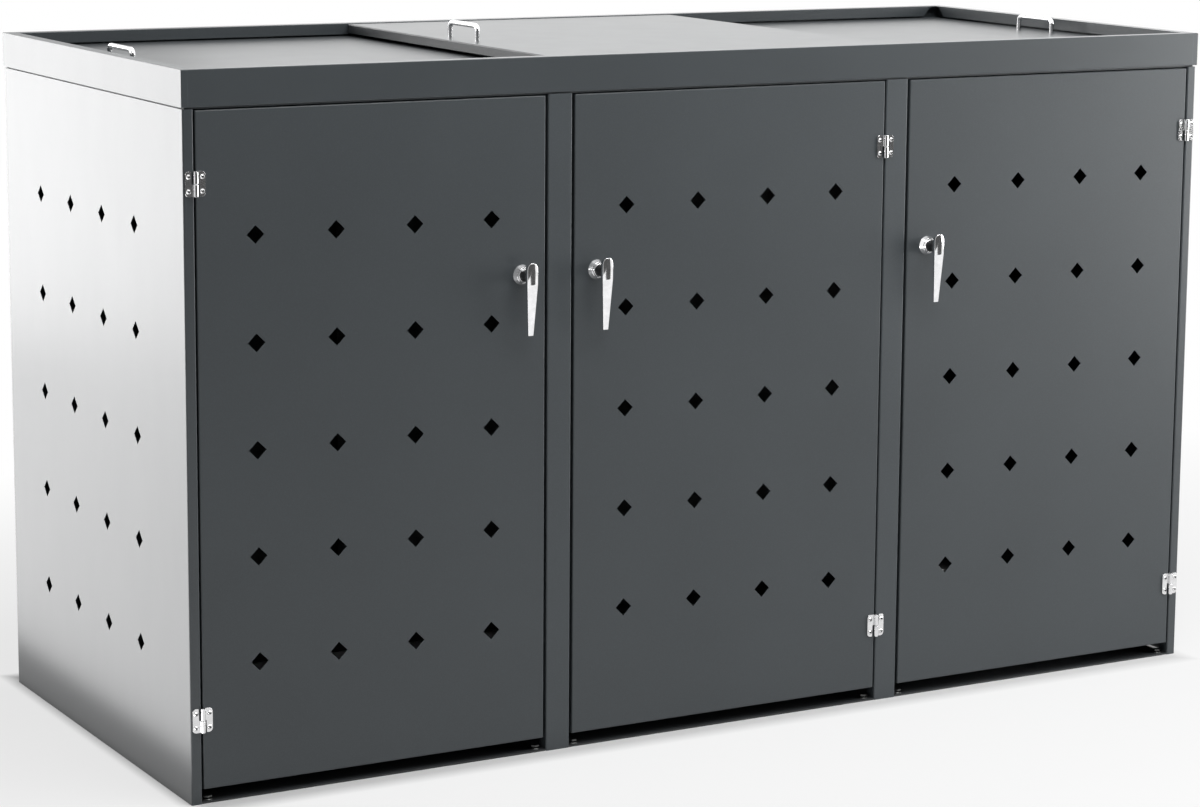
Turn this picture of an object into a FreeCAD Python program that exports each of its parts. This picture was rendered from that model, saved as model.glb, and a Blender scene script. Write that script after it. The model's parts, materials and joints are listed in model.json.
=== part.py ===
import FreeCAD, Part
import os

import Sketcher
from FreeCAD import Rotation, Vector

# Wheelie bin store for three bins, in millimetres.
# +X runs along the doors, the doors face -Y, +Z is up and the ground is z = 0.
# The origin is on the ground, under the middle of the store.

doc = FreeCAD.newDocument("BinStore")
sheet = doc.addObject("Spreadsheet::Sheet", "Sizes")


class Size:
    """A length: its number, and the formula over the sheet that gives it."""

    def __init__(self, number, formula):
        self.number = float(number)
        self.formula = formula

    def __add__(self, other):
        other = as_size(other)
        return Size(self.number + other.number, f"({self.formula} + {other.formula})")

    def __sub__(self, other):
        other = as_size(other)
        return Size(self.number - other.number, f"({self.formula} - {other.formula})")

    def __mul__(self, other):
        other = as_size(other)
        return Size(self.number * other.number, f"({self.formula} * {other.formula})")

    def __truediv__(self, other):
        other = as_size(other)
        return Size(self.number / other.number, f"({self.formula} / {other.formula})")

    def __radd__(self, other):
        return as_size(other) + self

    def __rsub__(self, other):
        return as_size(other) - self

    def __rmul__(self, other):
        return as_size(other) * self

    def __neg__(self):
        return Size(-self.number, f"(0 - {self.formula})")


def as_size(value):
    """The value as a Size, when it is a plain number."""
    if isinstance(value, Size):
        return value
    return Size(value, repr(float(value)) if value >= 0 else f"(0 - {-float(value)!r})")


cells_used = 0


def cell(alias, number):
    """A driving dimension in the sheet, and the Size that stands for it."""
    global cells_used
    cells_used += 1
    sheet.set(f"A{cells_used}", alias)
    sheet.set(f"B{cells_used}", str(number))
    sheet.setAlias(f"B{cells_used}", alias)
    return Size(number, f"Sizes.{alias}")


# Whole store
overall_width = cell("overall_width", 2000)
overall_depth = cell("overall_depth", 840)
overall_height = cell("overall_height", 1180)
sheet_steel = cell("sheet_steel", 1.5)
fold_radius = cell("fold_radius", 2.4)
edge_radius = cell("edge_radius", 2)
cut_margin = cell("cut_margin", 1)

# Fascia ring round the top
fascia_height = cell("fascia_height", 59)
fascia_overhang = cell("fascia_overhang", 2)
fascia_gap = cell("fascia_gap", 3)
fascia_flange = cell("fascia_flange", 22)
fascia_lip = cell("fascia_lip", 20)
fascia_return = cell("fascia_return", 11)
lip_end_gap = cell("lip_end_gap", 10)
fascia_fold_radius = cell("fascia_fold_radius", 1.2)
rail_setback = cell("rail_setback", 6)

# Posts and side panels
corner_face = cell("corner_face", 18)
mid_post_face = cell("mid_post_face", 45)
post_depth = cell("post_depth", 24)
post_lip = cell("post_lip", 12)
side_top_flange = cell("side_top_flange", 26)
side_foot_flange = cell("side_foot_flange", 46)
anchor_hole_radius = cell("anchor_hole_radius", 5.5)
anchor_inset = cell("anchor_inset", 26)
anchor_spacing_y = cell("anchor_spacing_y", 560)

# Doors
hinge_gap = cell("hinge_gap", 3)
latch_gap = cell("latch_gap", 5)
door_lift = cell("door_lift", 24)
door_top_gap = cell("door_top_gap", 2)
door_depth = cell("door_depth", 22)
door_lip = cell("door_lip", 14)

# Square vents, turned to stand on a corner
vent_side = cell("vent_side", 21.5)
vent_columns = cell("vent_columns", 4)
vent_rows = cell("vent_rows", 5)
vent_step_up = cell("vent_step_up", 173.2)
door_vent_step = cell("door_vent_step", 139)
side_vent_step = cell("side_vent_step", 148)
door_vent_rise = cell("door_vent_rise", 10.5)
side_vent_shift = cell("side_vent_shift", 18.5)
side_vent_drop = cell("side_vent_drop", 2.5)

# Hinges
hinge_rise = cell("hinge_rise", 115.5)
hinge_drop = cell("hinge_drop", 114.5)
leaf_width = cell("leaf_width", 17)
leaf_height = cell("leaf_height", 40)
leaf_thickness = cell("leaf_thickness", 2.5)
leaf_corner = cell("leaf_corner", 5.5)
knuckle_radius = cell("knuckle_radius", 4)
knuckle_clearance = cell("knuckle_clearance", 0.5)
knuckle_split = cell("knuckle_split", 0.4)
knuckle_cap = cell("knuckle_cap", 2.5)
pin_radius = cell("pin_radius", 2)
pin_clearance = cell("pin_clearance", 0.1)
pin_end_gap = cell("pin_end_gap", 0.5)
screw_offset = cell("screw_offset", 11.5)
screw_spacing = cell("screw_spacing", 23)
screw_head_radius = cell("screw_head_radius", 4)
screw_head_height = cell("screw_head_height", 2.4)
screw_dome = cell("screw_dome", 1.4)
socket_across = cell("socket_across", 3)
socket_depth = cell("socket_depth", 1.4)

# Turning handles with a cam behind the door
handle_inset = cell("handle_inset", 43)
handle_drop = cell("handle_drop", 295)
rosette_radius = cell("rosette_radius", 17.2)
rosette_top_radius = cell("rosette_top_radius", 11)
rosette_height = cell("rosette_height", 12)
rosette_groove = cell("rosette_groove", 1)
rosette_groove_height = cell("rosette_groove_height", 7.9)
neck_radius = cell("neck_radius", 9.7)
neck_end = cell("neck_end", 31)
spindle_radius = cell("spindle_radius", 5)
spindle_clearance = cell("spindle_clearance", 0.5)
neck_clearance = cell("neck_clearance", 0.4)
lever_thickness = cell("lever_thickness", 10)
lever_above = cell("lever_above", 24.3)
lever_below = cell("lever_below", 97.7)
lever_head_width = cell("lever_head_width", 19.5)
lever_tip_width = cell("lever_tip_width", 9.5)
lever_tip_thickness = cell("lever_tip_thickness", 7)
lever_tip_inward = cell("lever_tip_inward", 5)
lever_bevel = cell("lever_bevel", 1.6)
lever_crown = cell("lever_crown", 1)
cam_clearance = cell("cam_clearance", 1.5)
cam_thickness = cell("cam_thickness", 3)
cam_width = cell("cam_width", 16)
cam_bite = cell("cam_bite", 14)
cam_nut_radius = cell("cam_nut_radius", 6.5)
cam_nut_height = cell("cam_nut_height", 5)

# Sliding lids, their two levels of rail and their pulls
mid_lid_skirt = cell("mid_lid_skirt", 16)
side_lid_skirt = cell("side_lid_skirt", 18)
lid_run_clearance = cell("lid_run_clearance", 0.3)
lid_side_clearance = cell("lid_side_clearance", 3)
mid_lid_width = cell("mid_lid_width", 690)
mid_lid_below_top = cell("mid_lid_below_top", 1.5)
side_lid_below_lip = cell("side_lid_below_lip", 3.5)
side_lid_under_lip = cell("side_lid_under_lip", 4)
side_lid_overlap = cell("side_lid_overlap", 25)
side_lid_inset = cell("side_lid_inset", 15)
ledge_clearance = cell("ledge_clearance", 2)
rail_width = cell("rail_width", 20)
glide_length = cell("glide_length", 30)
glide_width = cell("glide_width", 6)
glide_grip = cell("glide_grip", 8)
glide_drop = cell("glide_drop", 2)
glide_inset = cell("glide_inset", 40)
runner_clearance = cell("runner_clearance", 0.6)
runner_end_gap = cell("runner_end_gap", 2)
pull_bar_radius = cell("pull_bar_radius", 4.5)
pull_height = cell("pull_height", 30)
pull_span = cell("pull_span", 106)
pull_bend = cell("pull_bend", 9)
side_pull_inset = cell("side_pull_inset", 62)
mid_pull_inset = cell("mid_pull_inset", 42)

# Base plates, ties and their bolts
base_thickness = cell("base_thickness", 3)
threshold_depth = cell("threshold_depth", 80)
cross_rail_width = cell("cross_rail_width", 30)
cross_rail_height = cell("cross_rail_height", 20)
bolt_across = cell("bolt_across", 13)
bolt_height = cell("bolt_height", 5.5)
bolt_inset = cell("bolt_inset", 14)
washer_radius = cell("washer_radius", 8.5)
washer_thickness = cell("washer_thickness", 1.6)
doc.recompute()

# Places worked out from the sizes, all from the origin
half_width = overall_width / 2
half_depth = overall_depth / 2
front = half_depth - fascia_overhang
panel_out = half_width - fascia_overhang
corner_in = panel_out - corner_face
post_back = front - post_depth
fascia_bottom = overall_height - fascia_height
post_top = fascia_bottom - fascia_gap
door_low = door_lift
door_high = post_top - door_top_gap
door_middle = (door_low + door_high) / 2
door_back = front - door_depth
rail_outer_y = half_depth - rail_setback
rail_outer_x = half_width - rail_setback
bay_width = (2 * corner_in - 2 * mid_post_face) / 3
door_width = bay_width - hinge_gap - latch_gap
bay_lows = [-corner_in + k * (bay_width + mid_post_face) for k in range(3)]
post_lows = [low + bay_width for low in bay_lows[:2]]

lip_inner = half_depth - fascia_flange
lip_bottom = overall_height - fascia_lip
mid_lid_top = overall_height - mid_lid_below_top
mid_lid_half_depth = lip_inner - lid_side_clearance
side_lid_top = lip_bottom - side_lid_below_lip
side_lid_half_depth = lip_inner + side_lid_under_lip
top_rail_top = side_lid_top - side_lid_skirt - glide_drop - lid_run_clearance
runner_low = side_lid_top + runner_clearance
runner_high = lip_bottom - runner_clearance
ledge_top = runner_low - lid_run_clearance
ledge_inner = side_lid_half_depth + ledge_clearance
mid_lid_half_width = mid_lid_width / 2
side_lid_near = mid_lid_half_width - side_lid_overlap
side_lid_far = half_width - side_lid_inset

handle_z = door_high - handle_drop
cam_front = post_back - cam_clearance
cam_length = handle_inset + latch_gap + cam_bite
knuckle_y = front + knuckle_radius + knuckle_clearance
hinge_heights = [door_low + hinge_rise, door_high - hinge_drop]

pieces = []


def keep(thing, label):
    """Makes the object a piece of the store, under its own name."""
    thing.Label = label
    pieces.append(thing)
    return thing


def place(thing, x, y, z):
    """Binds the object's placement to three lengths."""
    for letter, size in zip("xyz", (x, y, z)):
        thing.setExpression(f".Placement.Base.{letter}", as_size(size).formula)


def ordered(low, high):
    """The two lengths, the smaller one first."""
    low, high = as_size(low), as_size(high)
    return (low, high) if low.number <= high.number else (high, low)


# Sketched pieces


def new_body(name):
    return doc.addObject("PartDesign::Body", name)


def plane_of(body, role):
    return next(f for f in body.Origin.OriginFeatures if f.Role == role)


def new_sketch(body, role, lift):
    """An empty sketch on one of the body's planes, moved along its normal."""
    sketch = body.newObject("Sketcher::SketchObject", "Sketch")
    sketch.AttachmentSupport = [(plane_of(body, role), "")]
    sketch.MapMode = "FlatFace"
    sketch.setExpression(".AttachmentOffset.Base.z", as_size(lift).formula)
    return sketch


def pin_point(sketch, geometry, end, point):
    """Holds one end of a sketch line at a point given by two lengths."""
    for kind, size in zip(("DistanceX", "DistanceY"), point):
        size = as_size(size)
        number = sketch.addConstraint(
            Sketcher.Constraint(kind, -1, 1, geometry, end, size.number)
        )
        sketch.setExpression(f"Constraints[{number}]", size.formula)


def outline(sketch, points):
    """A closed outline through the points, each held by its two lengths."""
    count = len(points)
    first = sketch.GeometryCount
    corners = [Vector(as_size(x).number, as_size(y).number, 0) for x, y in points]
    for k in range(count):
        sketch.addGeometry(Part.LineSegment(corners[k], corners[(k + 1) % count]), False)
    for k in range(count):
        before = first + (k - 1) % count
        sketch.addConstraint(Sketcher.Constraint("Coincident", before, 2, first + k, 1))
        pin_point(sketch, first + k, 1, points[k])


def ring(sketch, centre, radius):
    """A circle held by its centre and radius."""
    radius = as_size(radius)
    middle = Vector(as_size(centre[0]).number, as_size(centre[1]).number, 0)
    number = sketch.addGeometry(Part.Circle(middle, Vector(0, 0, 1), radius.number), False)
    pin_point(sketch, number, 3, centre)
    held = sketch.addConstraint(Sketcher.Constraint("Radius", number, radius.number))
    sketch.setExpression(f"Constraints[{held}]", radius.formula)


def pad(body, sketch, length):
    feature = body.newObject("PartDesign::Pad", "Pad")
    feature.Profile = sketch
    feature.setExpression("Length", as_size(length).formula)
    doc.recompute()
    return feature


def pocket(body, sketch, length):
    """Cuts the sketch into the body, against the sketch's normal."""
    before = body.Shape.Volume
    feature = body.newObject("PartDesign::Pocket", "Pocket")
    feature.Profile = sketch
    feature.setExpression("Length", as_size(length).formula)
    doc.recompute()
    if body.Shape.Volume >= before:
        raise RuntimeError(f"{body.Name}: a pocket cut nothing")
    return feature


def rectangle(x, y):
    (x0, x1), (y0, y1) = ordered(*x), ordered(*y)
    return [(x0, y0), (x1, y0), (x1, y1), (x0, y1)]


def add_block(body, x, y, z):
    """Adds a block between two lengths along each axis."""
    low, high = ordered(*z)
    sketch = new_sketch(body, "XY_Plane", low)
    outline(sketch, rectangle(x, y))
    pad(body, sketch, high - low)


def cut_block(body, x, y, z):
    """Takes a block away between two lengths along each axis."""
    low, high = ordered(*z)
    sketch = new_sketch(body, "XY_Plane", high)
    outline(sketch, rectangle(x, y))
    pocket(body, sketch, high - low)


def round_edges(body, radius, wanted):
    """Rounds the body's edges that the test picks."""
    tip = body.Tip
    names = [f"Edge{k}" for k, edge in enumerate(tip.Shape.Edges, 1) if wanted(edge)]
    if not names:
        raise RuntimeError(f"{body.Name}: no edge to round")
    feature = body.newObject("PartDesign::Fillet", "Fillet")
    feature.Base = (tip, names)
    feature.setExpression("Radius", as_size(radius).formula)
    doc.recompute()


def lies_at(edge, **places):
    """True for a straight edge that lies in each of the planes named."""
    box = edge.BoundBox
    for letter, size in places.items():
        low = getattr(box, letter.upper() + "Min")
        high = getattr(box, letter.upper() + "Max")
        number = as_size(size).number
        if abs(low - number) > 1e-4 or abs(high - number) > 1e-4:
            return False
    return True


def edges_at(*choices):
    """A test for edges that lie in any one of the sets of planes."""
    return lambda edge: any(lies_at(edge, **choice) for choice in choices)


def add_vents(body, role, lift, centre, step):
    """Cuts the square vents: one is sketched, the pattern repeats it both ways."""
    sketch = new_sketch(body, role, lift)
    reach = vent_side * 0.5**0.5
    x = centre[0] - step * (vent_columns - 1) / 2
    y = centre[1] - vent_step_up * (vent_rows - 1) / 2
    outline(sketch, [(x - reach, y), (x, y - reach), (x + reach, y), (x, y + reach)])
    cut = pocket(body, sketch, 3 * sheet_steel)
    pattern = body.newObject("PartDesign::LinearPattern", "Vents")
    pattern.Originals = [cut]
    pattern.Direction = (sketch, ["H_Axis"])
    pattern.Direction2 = (sketch, ["V_Axis"])
    pattern.Mode = "Extent"
    pattern.Mode2 = "Extent"
    pattern.setExpression("Length", (step * (vent_columns - 1)).formula)
    pattern.setExpression("Length2", (vent_step_up * (vent_rows - 1)).formula)
    pattern.setExpression("Occurrences", vent_columns.formula)
    pattern.setExpression("Occurrences2", vent_rows.formula)
    body.Tip = pattern
    doc.recompute()


def turned(label, points):
    """A body turned about its own Z axis from an outline of (radius, height)."""
    body = new_body(label)
    sketch = new_sketch(body, "XZ_Plane", 0)
    outline(sketch, points)
    feature = body.newObject("PartDesign::Revolution", "Revolution")
    feature.Profile = sketch
    feature.ReferenceAxis = (sketch, ["V_Axis"])
    feature.Angle = 360
    doc.recompute()
    return body


# Pieces from plain solids


def block(name, x, y, z):
    """A block between two lengths along each axis."""
    box = doc.addObject("Part::Box", name)
    lows = []
    for side, pair in zip(("Length", "Width", "Height"), (x, y, z)):
        low, high = ordered(*pair)
        lows.append(low)
        box.setExpression(side, (high - low).formula)
    place(box, *lows)
    return box


def rod(name, radius, low, high, centre, outward=False):
    """A round rod along Z, or out of the doors' face when outward is set."""
    cylinder = doc.addObject("Part::Cylinder", name)
    cylinder.setExpression("Radius", as_size(radius).formula)
    cylinder.setExpression("Height", (as_size(high) - low).formula)
    if outward:
        cylinder.Placement.Rotation = Rotation(Vector(1, 0, 0), 90)
        place(cylinder, centre[0], -as_size(low), centre[1])
    else:
        place(cylinder, centre[0], centre[1], low)
    return cylinder


def six_sided(name, across, low, high, centre, outward=False):
    """A hexagonal bar, measured across its flats, along Z or out of the face."""
    prism = doc.addObject("Part::Prism", name)
    prism.Polygon = 6
    prism.setExpression("Circumradius", (as_size(across) / 3**0.5).formula)
    prism.setExpression("Height", (as_size(high) - low).formula)
    if outward:
        prism.Placement.Rotation = Rotation(Vector(1, 0, 0), 90)
        place(prism, centre[0], -as_size(low), centre[1])
    else:
        place(prism, centre[0], centre[1], low)
    return prism


def less(name, base, tool):
    cut = doc.addObject("Part::Cut", name)
    cut.Base = base
    cut.Tool = tool
    return cut


def joined(name, things):
    fusion = doc.addObject("Part::MultiFuse", name)
    fusion.Shapes = things
    fusion.Refine = True
    return fusion


def group(label, things):
    """Identical separate pieces that share one name."""
    compound = doc.addObject("Part::Compound", label)
    compound.Links = things
    return keep(compound, label)


def rounded(name, base, radius, wanted):
    """A plain solid with the edges that the test picks rounded."""
    doc.recompute()
    fillet = doc.addObject("Part::Fillet", name)
    fillet.Base = base
    number = as_size(radius).number
    chosen = [k for k, edge in enumerate(base.Shape.Edges, 1) if wanted(edge)]
    fillet.Edges = [(k, number, number) for k in chosen]
    return fillet


def mirrored(label, source, normal):
    """The same piece on the other side of the store."""
    mirror = doc.addObject("Part::Mirroring", label)
    mirror.Source = source
    mirror.Normal = normal
    return keep(mirror, label)


ACROSS = Vector(1, 0, 0)
DEEP = Vector(0, 1, 0)


# Side panel: skin, corner faces with their returns, top flange and foot flange
def side_panel():
    body = new_body("side_panel_left")
    skin = (-panel_out, sheet_steel - panel_out)
    add_block(body, skin, (-front, front), (0, post_top))
    centre = (side_vent_shift, door_middle - side_vent_drop)
    add_vents(body, "YZ_Plane", 2 * sheet_steel - panel_out, centre, side_vent_step)
    for side in (-1, 1):
        face = (side * front, side * (front - sheet_steel))
        add_block(body, (-panel_out, -corner_in), face, (0, post_top))
        inner = (-corner_in - sheet_steel, -corner_in)
        add_block(body, inner, (side * front, side * post_back), (0, post_top))
    flange = (-panel_out, side_top_flange - panel_out)
    add_block(body, flange, (-post_back, post_back), (post_top - sheet_steel, post_top))
    foot_end = front - threshold_depth
    foot = (-panel_out, side_foot_flange - panel_out)
    add_block(body, foot, (-foot_end, foot_end), (0, sheet_steel))
    sketch = new_sketch(body, "XY_Plane", 2 * sheet_steel)
    for side in (-1, 1):
        centre = (anchor_inset - panel_out, side * anchor_spacing_y / 2)
        ring(sketch, centre, anchor_hole_radius)
    pocket(body, sketch, 3 * sheet_steel)
    outer = [{"x": -panel_out, "y": side * front} for side in (-1, 1)]
    inner = [{"x": -corner_in, "y": side * front} for side in (-1, 1)]
    round_edges(body, fold_radius, edges_at(*outer, *inner))
    return keep(body, "side_panel_left")


mirrored("side_panel_right", side_panel(), ACROSS)


# Middle posts: folded channels, open to the inside
def mid_post(label, low):
    body = new_body(label)
    high = low + mid_post_face
    height = (0, post_top)
    add_block(body, (low, high), (-front, sheet_steel - front), height)
    add_block(body, (low, low + sheet_steel), (-front, -post_back), height)
    add_block(body, (high - sheet_steel, high), (-front, -post_back), height)
    back = (-post_back - sheet_steel, -post_back)
    add_block(body, (low, low + post_lip), back, height)
    add_block(body, (high - post_lip, high), back, height)
    corners = [{"x": x, "y": -front} for x in (low, high)]
    round_edges(body, fold_radius, edges_at(*corners))
    return keep(body, label)


for side_name, post_low in zip(("left", "right"), post_lows):
    mirrored(f"back_post_{side_name}", mid_post(f"front_post_{side_name}", post_low), DEEP)


# Pans for the doors and the back: a face with folded edges and lips
def pan(body, x, z):
    (left, right), (low, high) = x, z
    add_block(body, x, (-front, -door_back), z)
    inside = (left + sheet_steel, right - sheet_steel)
    hollow = (sheet_steel - front, -door_back - sheet_steel)
    cut_block(body, inside, hollow, (low + sheet_steel, high - sheet_steel))
    opening = (left + door_lip, right - door_lip)
    through = (-door_back - 2 * sheet_steel, sheet_steel - door_back)
    cut_block(body, opening, through, (low + door_lip, high - door_lip))


def pan_corners(x, z):
    """The outer fold lines of a pan: round its face, and its four corners."""
    face = [{"x": place_x, "y": -front} for place_x in x]
    face += [{"z": place_z, "y": -front} for place_z in z]
    return edges_at(*face)


def back_panel(label, low):
    body = new_body(f"{label}_plan")
    x = (low, low + bay_width)
    z = (base_thickness, post_top)
    pan(body, x, z)
    round_edges(body, edge_radius, pan_corners(x, z))
    mirrored(label, body, DEEP)


for bay_name, bay_low in zip(("left", "mid", "right"), bay_lows):
    back_panel(f"back_panel_{bay_name}", bay_low)


# Base: plates between the posts at front and back, with ties between them
def base_plates():
    plates = []
    bolts = []
    washers_top = base_thickness + washer_thickness
    for number, low in enumerate(bay_lows, 1):
        deep = (sheet_steel - front, threshold_depth - front)
        plate = block(f"threshold_{number}", (low, low + bay_width), deep, (0, base_thickness))
        plates.append(plate)
        for side, x in (("left", low + bolt_inset), ("right", low + bay_width - bolt_inset)):
            name = f"bolt_{number}_{side}"
            centre = (x, bolt_inset - front)
            washer = rod(f"{name}_washer", washer_radius, base_thickness, washers_top, centre)
            top = washers_top + bolt_height
            head = six_sided(f"{name}_head", bolt_across, washers_top, top, centre)
            bolts.append(joined(name, [washer, head]))
    thresholds = group("thresholds", plates)
    mirrored("rear_sills", thresholds, DEEP)
    group("base_bolts", bolts)


base_plates()

for side_name, post_low in zip(("left", "right"), post_lows):
    across = (post_low, post_low + mid_post_face)
    tie = block(f"floor_tie_{side_name}", across, (-post_back, post_back), (0, base_thickness))
    keep(tie, f"floor_tie_{side_name}")


# Top frame: square tubes on the posts, which the outer lids run along
def tube(label, x, y, z, along):
    """A rail with a wall of sheet thickness, open at its two ends."""
    outer = block(f"{label}_outer", x, y, z)
    spans = {"x": ordered(*x), "y": ordered(*y), "z": ordered(*z)}
    wall = {name: sheet_steel for name in spans}
    wall[along] = -sheet_steel
    hollow = [(low + wall[name], high - wall[name]) for name, (low, high) in spans.items()]
    inner = block(f"{label}_inner", *hollow)
    return keep(less(label, outer, inner), label)


rail_height = (post_top, top_rail_top)
rail_inner_y = rail_outer_y - rail_width
front_rail = tube(
    "top_rail_front", (-rail_outer_x, rail_outer_x), (-rail_outer_y, -rail_inner_y), rail_height, "x"
)
mirrored("top_rail_back", front_rail, DEEP)
side_rail = tube(
    "top_rail_left",
    (-rail_outer_x, rail_width - rail_outer_x),
    (-rail_inner_y, rail_inner_y),
    rail_height,
    "y",
)
mirrored("top_rail_right", side_rail, ACROSS)

for side_name, post_low in zip(("left", "right"), post_lows):
    centre_x = post_low + mid_post_face / 2
    across = (centre_x - cross_rail_width / 2, centre_x + cross_rail_width / 2)
    below = (post_top - cross_rail_height, post_top)
    tube(f"cross_rail_{side_name}", across, (-post_back, post_back), below, "y")


# Ledge: a folded angle on the front and back rails, under the rim's lip, which
# carries the middle lid
def ledge():
    body = new_body("lid_ledge_front")
    length = (-rail_outer_x, rail_outer_x)
    upright = (-rail_outer_y, sheet_steel - rail_outer_y)
    add_block(body, length, upright, (top_rail_top, ledge_top))
    tread = (ledge_top - sheet_steel, ledge_top)
    add_block(body, length, (-rail_outer_y, -ledge_inner), tread)
    round_edges(body, edge_radius, edges_at({"y": -rail_outer_y, "z": ledge_top}))
    return keep(body, "lid_ledge_front")


mirrored("lid_ledge_back", ledge(), DEEP)


# Fascia: folded channels with a flange on top and a short lip turned down
def slanted_lip(body, role, lift, end):
    """The lip under a flange, as long at its fold as its ends allow and cut at 45 degrees."""
    sketch = new_sketch(body, role, lift)
    fold_end = end - lip_end_gap
    low_end = fold_end - fascia_lip
    corners = [(-low_end, lip_bottom), (low_end, lip_bottom)]
    corners += [(fold_end, overall_height), (-fold_end, overall_height)]
    outline(sketch, corners)
    pad(body, sketch, sheet_steel)


def front_fascia():
    body = new_body("fascia_front")
    web_end = half_width - fascia_return
    flange_end = half_width - fascia_flange
    whole = (fascia_bottom, overall_height)
    add_block(body, (-web_end, web_end), (-half_depth, sheet_steel - half_depth), whole)
    top = (overall_height - sheet_steel, overall_height)
    add_block(body, (-flange_end, flange_end), (-half_depth, -lip_inner), top)
    slanted_lip(body, "XZ_Plane", lip_inner, flange_end)
    bottom = (fascia_bottom, fascia_bottom + sheet_steel)
    add_block(body, (-web_end, web_end), (-half_depth, -rail_outer_y), bottom)
    for side in (-1, 1):
        under_flange = (side * flange_end, side * web_end)
        cut_block(body, under_flange, (-half_depth, sheet_steel - half_depth), top)
    folds = [{"y": -half_depth, "z": z} for z in (overall_height, fascia_bottom)]
    folds.append({"y": -lip_inner, "z": overall_height})
    round_edges(body, fascia_fold_radius, edges_at(*folds))
    return keep(body, "fascia_front")


def side_fascia():
    body = new_body("fascia_left")
    whole = (fascia_bottom, overall_height)
    ends = (-half_depth, half_depth)
    flange_x = fascia_flange - half_width
    add_block(body, (-half_width, sheet_steel - half_width), ends, whole)
    for side in (-1, 1):
        wrap = (side * half_depth, side * (half_depth - sheet_steel))
        add_block(body, (-half_width, fascia_return - half_width), wrap, whole)
    top = (overall_height - sheet_steel, overall_height)
    add_block(body, (-half_width, flange_x), ends, top)
    slanted_lip(body, "YZ_Plane", flange_x - sheet_steel, lip_inner)
    bottom = (fascia_bottom, fascia_bottom + sheet_steel)
    between = (-rail_outer_y, rail_outer_y)
    add_block(body, (-half_width, -rail_outer_x), between, bottom)
    folds = [{"x": -half_width, "z": overall_height}]
    for side in (-1, 1):
        folds.append({"x": -half_width, "y": side * half_depth})
        folds.append({"y": side * half_depth, "z": overall_height})
    round_edges(body, fascia_fold_radius, edges_at(*folds))
    return keep(body, "fascia_left")


mirrored("fascia_back", front_fascia(), DEEP)
mirrored("fascia_right", side_fascia(), ACROSS)


# Hinges: two leaves on the faces, with a knuckle each on one pin
def leaf(name, axis_x, side, centre_z, upper):
    """One leaf. side is -1 or +1 along X, upper puts its knuckle in the top half."""
    far = axis_x + side * leaf_width
    clear = axis_x + side * (knuckle_radius + knuckle_clearance)
    low, high = centre_z - leaf_height / 2, centre_z + leaf_height / 2
    out = (-front - leaf_thickness, -front)
    plate = block(f"{name}_plate", (clear, far), out, (low, high))
    tips = [{"x": far, "z": z} for z in (low, high)]
    plate = rounded(f"{name}_corners", plate, leaf_corner, edges_at(*tips))
    half = (centre_z + knuckle_split / 2, high) if upper else (low, centre_z - knuckle_split / 2)
    bridge = block(f"{name}_bridge", (axis_x, clear), out, half)
    knuckle = rod(f"{name}_knuckle", knuckle_radius, *half, (axis_x, -knuckle_y))
    whole = joined(f"{name}_whole", [plate, bridge, knuckle])
    if upper:
        bore = (half[0] - cut_margin, high - knuckle_cap)
        radius = pin_radius + pin_clearance
    else:
        bore = (half[0] - cut_margin, half[1] + cut_margin)
        radius = pin_radius
    hole = rod(f"{name}_bore", radius, *bore, (axis_x, -knuckle_y))
    return less(name, whole, hole)


def screw(name, x, z, out):
    """A button-head screw with a hexagon socket, standing out of a face."""
    head = rod(f"{name}_head", screw_head_radius, out, out + screw_head_height, (x, z), True)
    rim = edges_at({"y": -out - screw_head_height})
    head = rounded(f"{name}_dome", head, screw_dome, rim)
    floor = out + screw_head_height - socket_depth
    top = out + screw_head_height + cut_margin
    socket = six_sided(f"{name}_socket", socket_across, floor, top, (x, z), True)
    return less(name, head, socket)


def leaf_screws(name, axis_x, side, centre_z):
    x = axis_x + side * screw_offset
    out = front + leaf_thickness
    heights = [centre_z - screw_spacing / 2, centre_z + screw_spacing / 2]
    return [screw(f"{name}_screw_{k}", x, z, out) for k, z in enumerate(heights, 1)]


frame_leaves = []
frame_screws = []
pins = []


def door_hinges(bay, axis_x, door_side):
    """Both hinges of one door; the frame's leaves are kept in the shared groups."""
    door_leaves = []
    door_screws = []
    for number, height in enumerate(hinge_heights, 1):
        name = f"{bay}_{number}"
        door_leaves.append(leaf(f"door_leaf_{name}", axis_x, door_side, height, True))
        door_screws += leaf_screws(f"door_{name}", axis_x, door_side, height)
        frame_leaves.append(leaf(f"frame_leaf_{name}", axis_x, -door_side, height, False))
        frame_screws.extend(leaf_screws(f"frame_{name}", axis_x, -door_side, height))
        low = height - leaf_height / 2
        high = height + leaf_height / 2 - knuckle_cap - pin_end_gap
        pins.append(rod(f"pin_{name}", pin_radius, low, high, (axis_x, -knuckle_y)))
    group(f"hinge_leaves_{bay}", door_leaves)
    group(f"hinge_screws_{bay}", door_screws)


# Turning handle: rosette on the door; lever, neck with spindle, and cam turn
def put_outward(body, x, z, label):
    """Turns a body so that its own Z axis points out of the doors' face."""
    body.Placement.Rotation = Rotation(Vector(1, 0, 0), 90)
    place(body, x, -front, z)
    return keep(body, label)


def rosette(bay, x):
    bore = spindle_radius + spindle_clearance
    groove_low = rosette_groove_height
    groove_high = groove_low + rosette_groove
    slope = (rosette_radius - rosette_top_radius) / rosette_height
    rim_low = rosette_radius - slope * groove_low
    rim_high = rosette_radius - slope * groove_high
    points = [(bore, 0), (rosette_radius, 0), (rim_low, groove_low)]
    points += [(rim_low - rosette_groove, groove_low), (rim_low - rosette_groove, groove_high)]
    points += [(rim_high, groove_high), (rosette_top_radius, rosette_height)]
    points.append((bore, rosette_height))
    put_outward(turned(f"rosette_{bay}", points), x, handle_z, f"rosette_{bay}")


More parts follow.
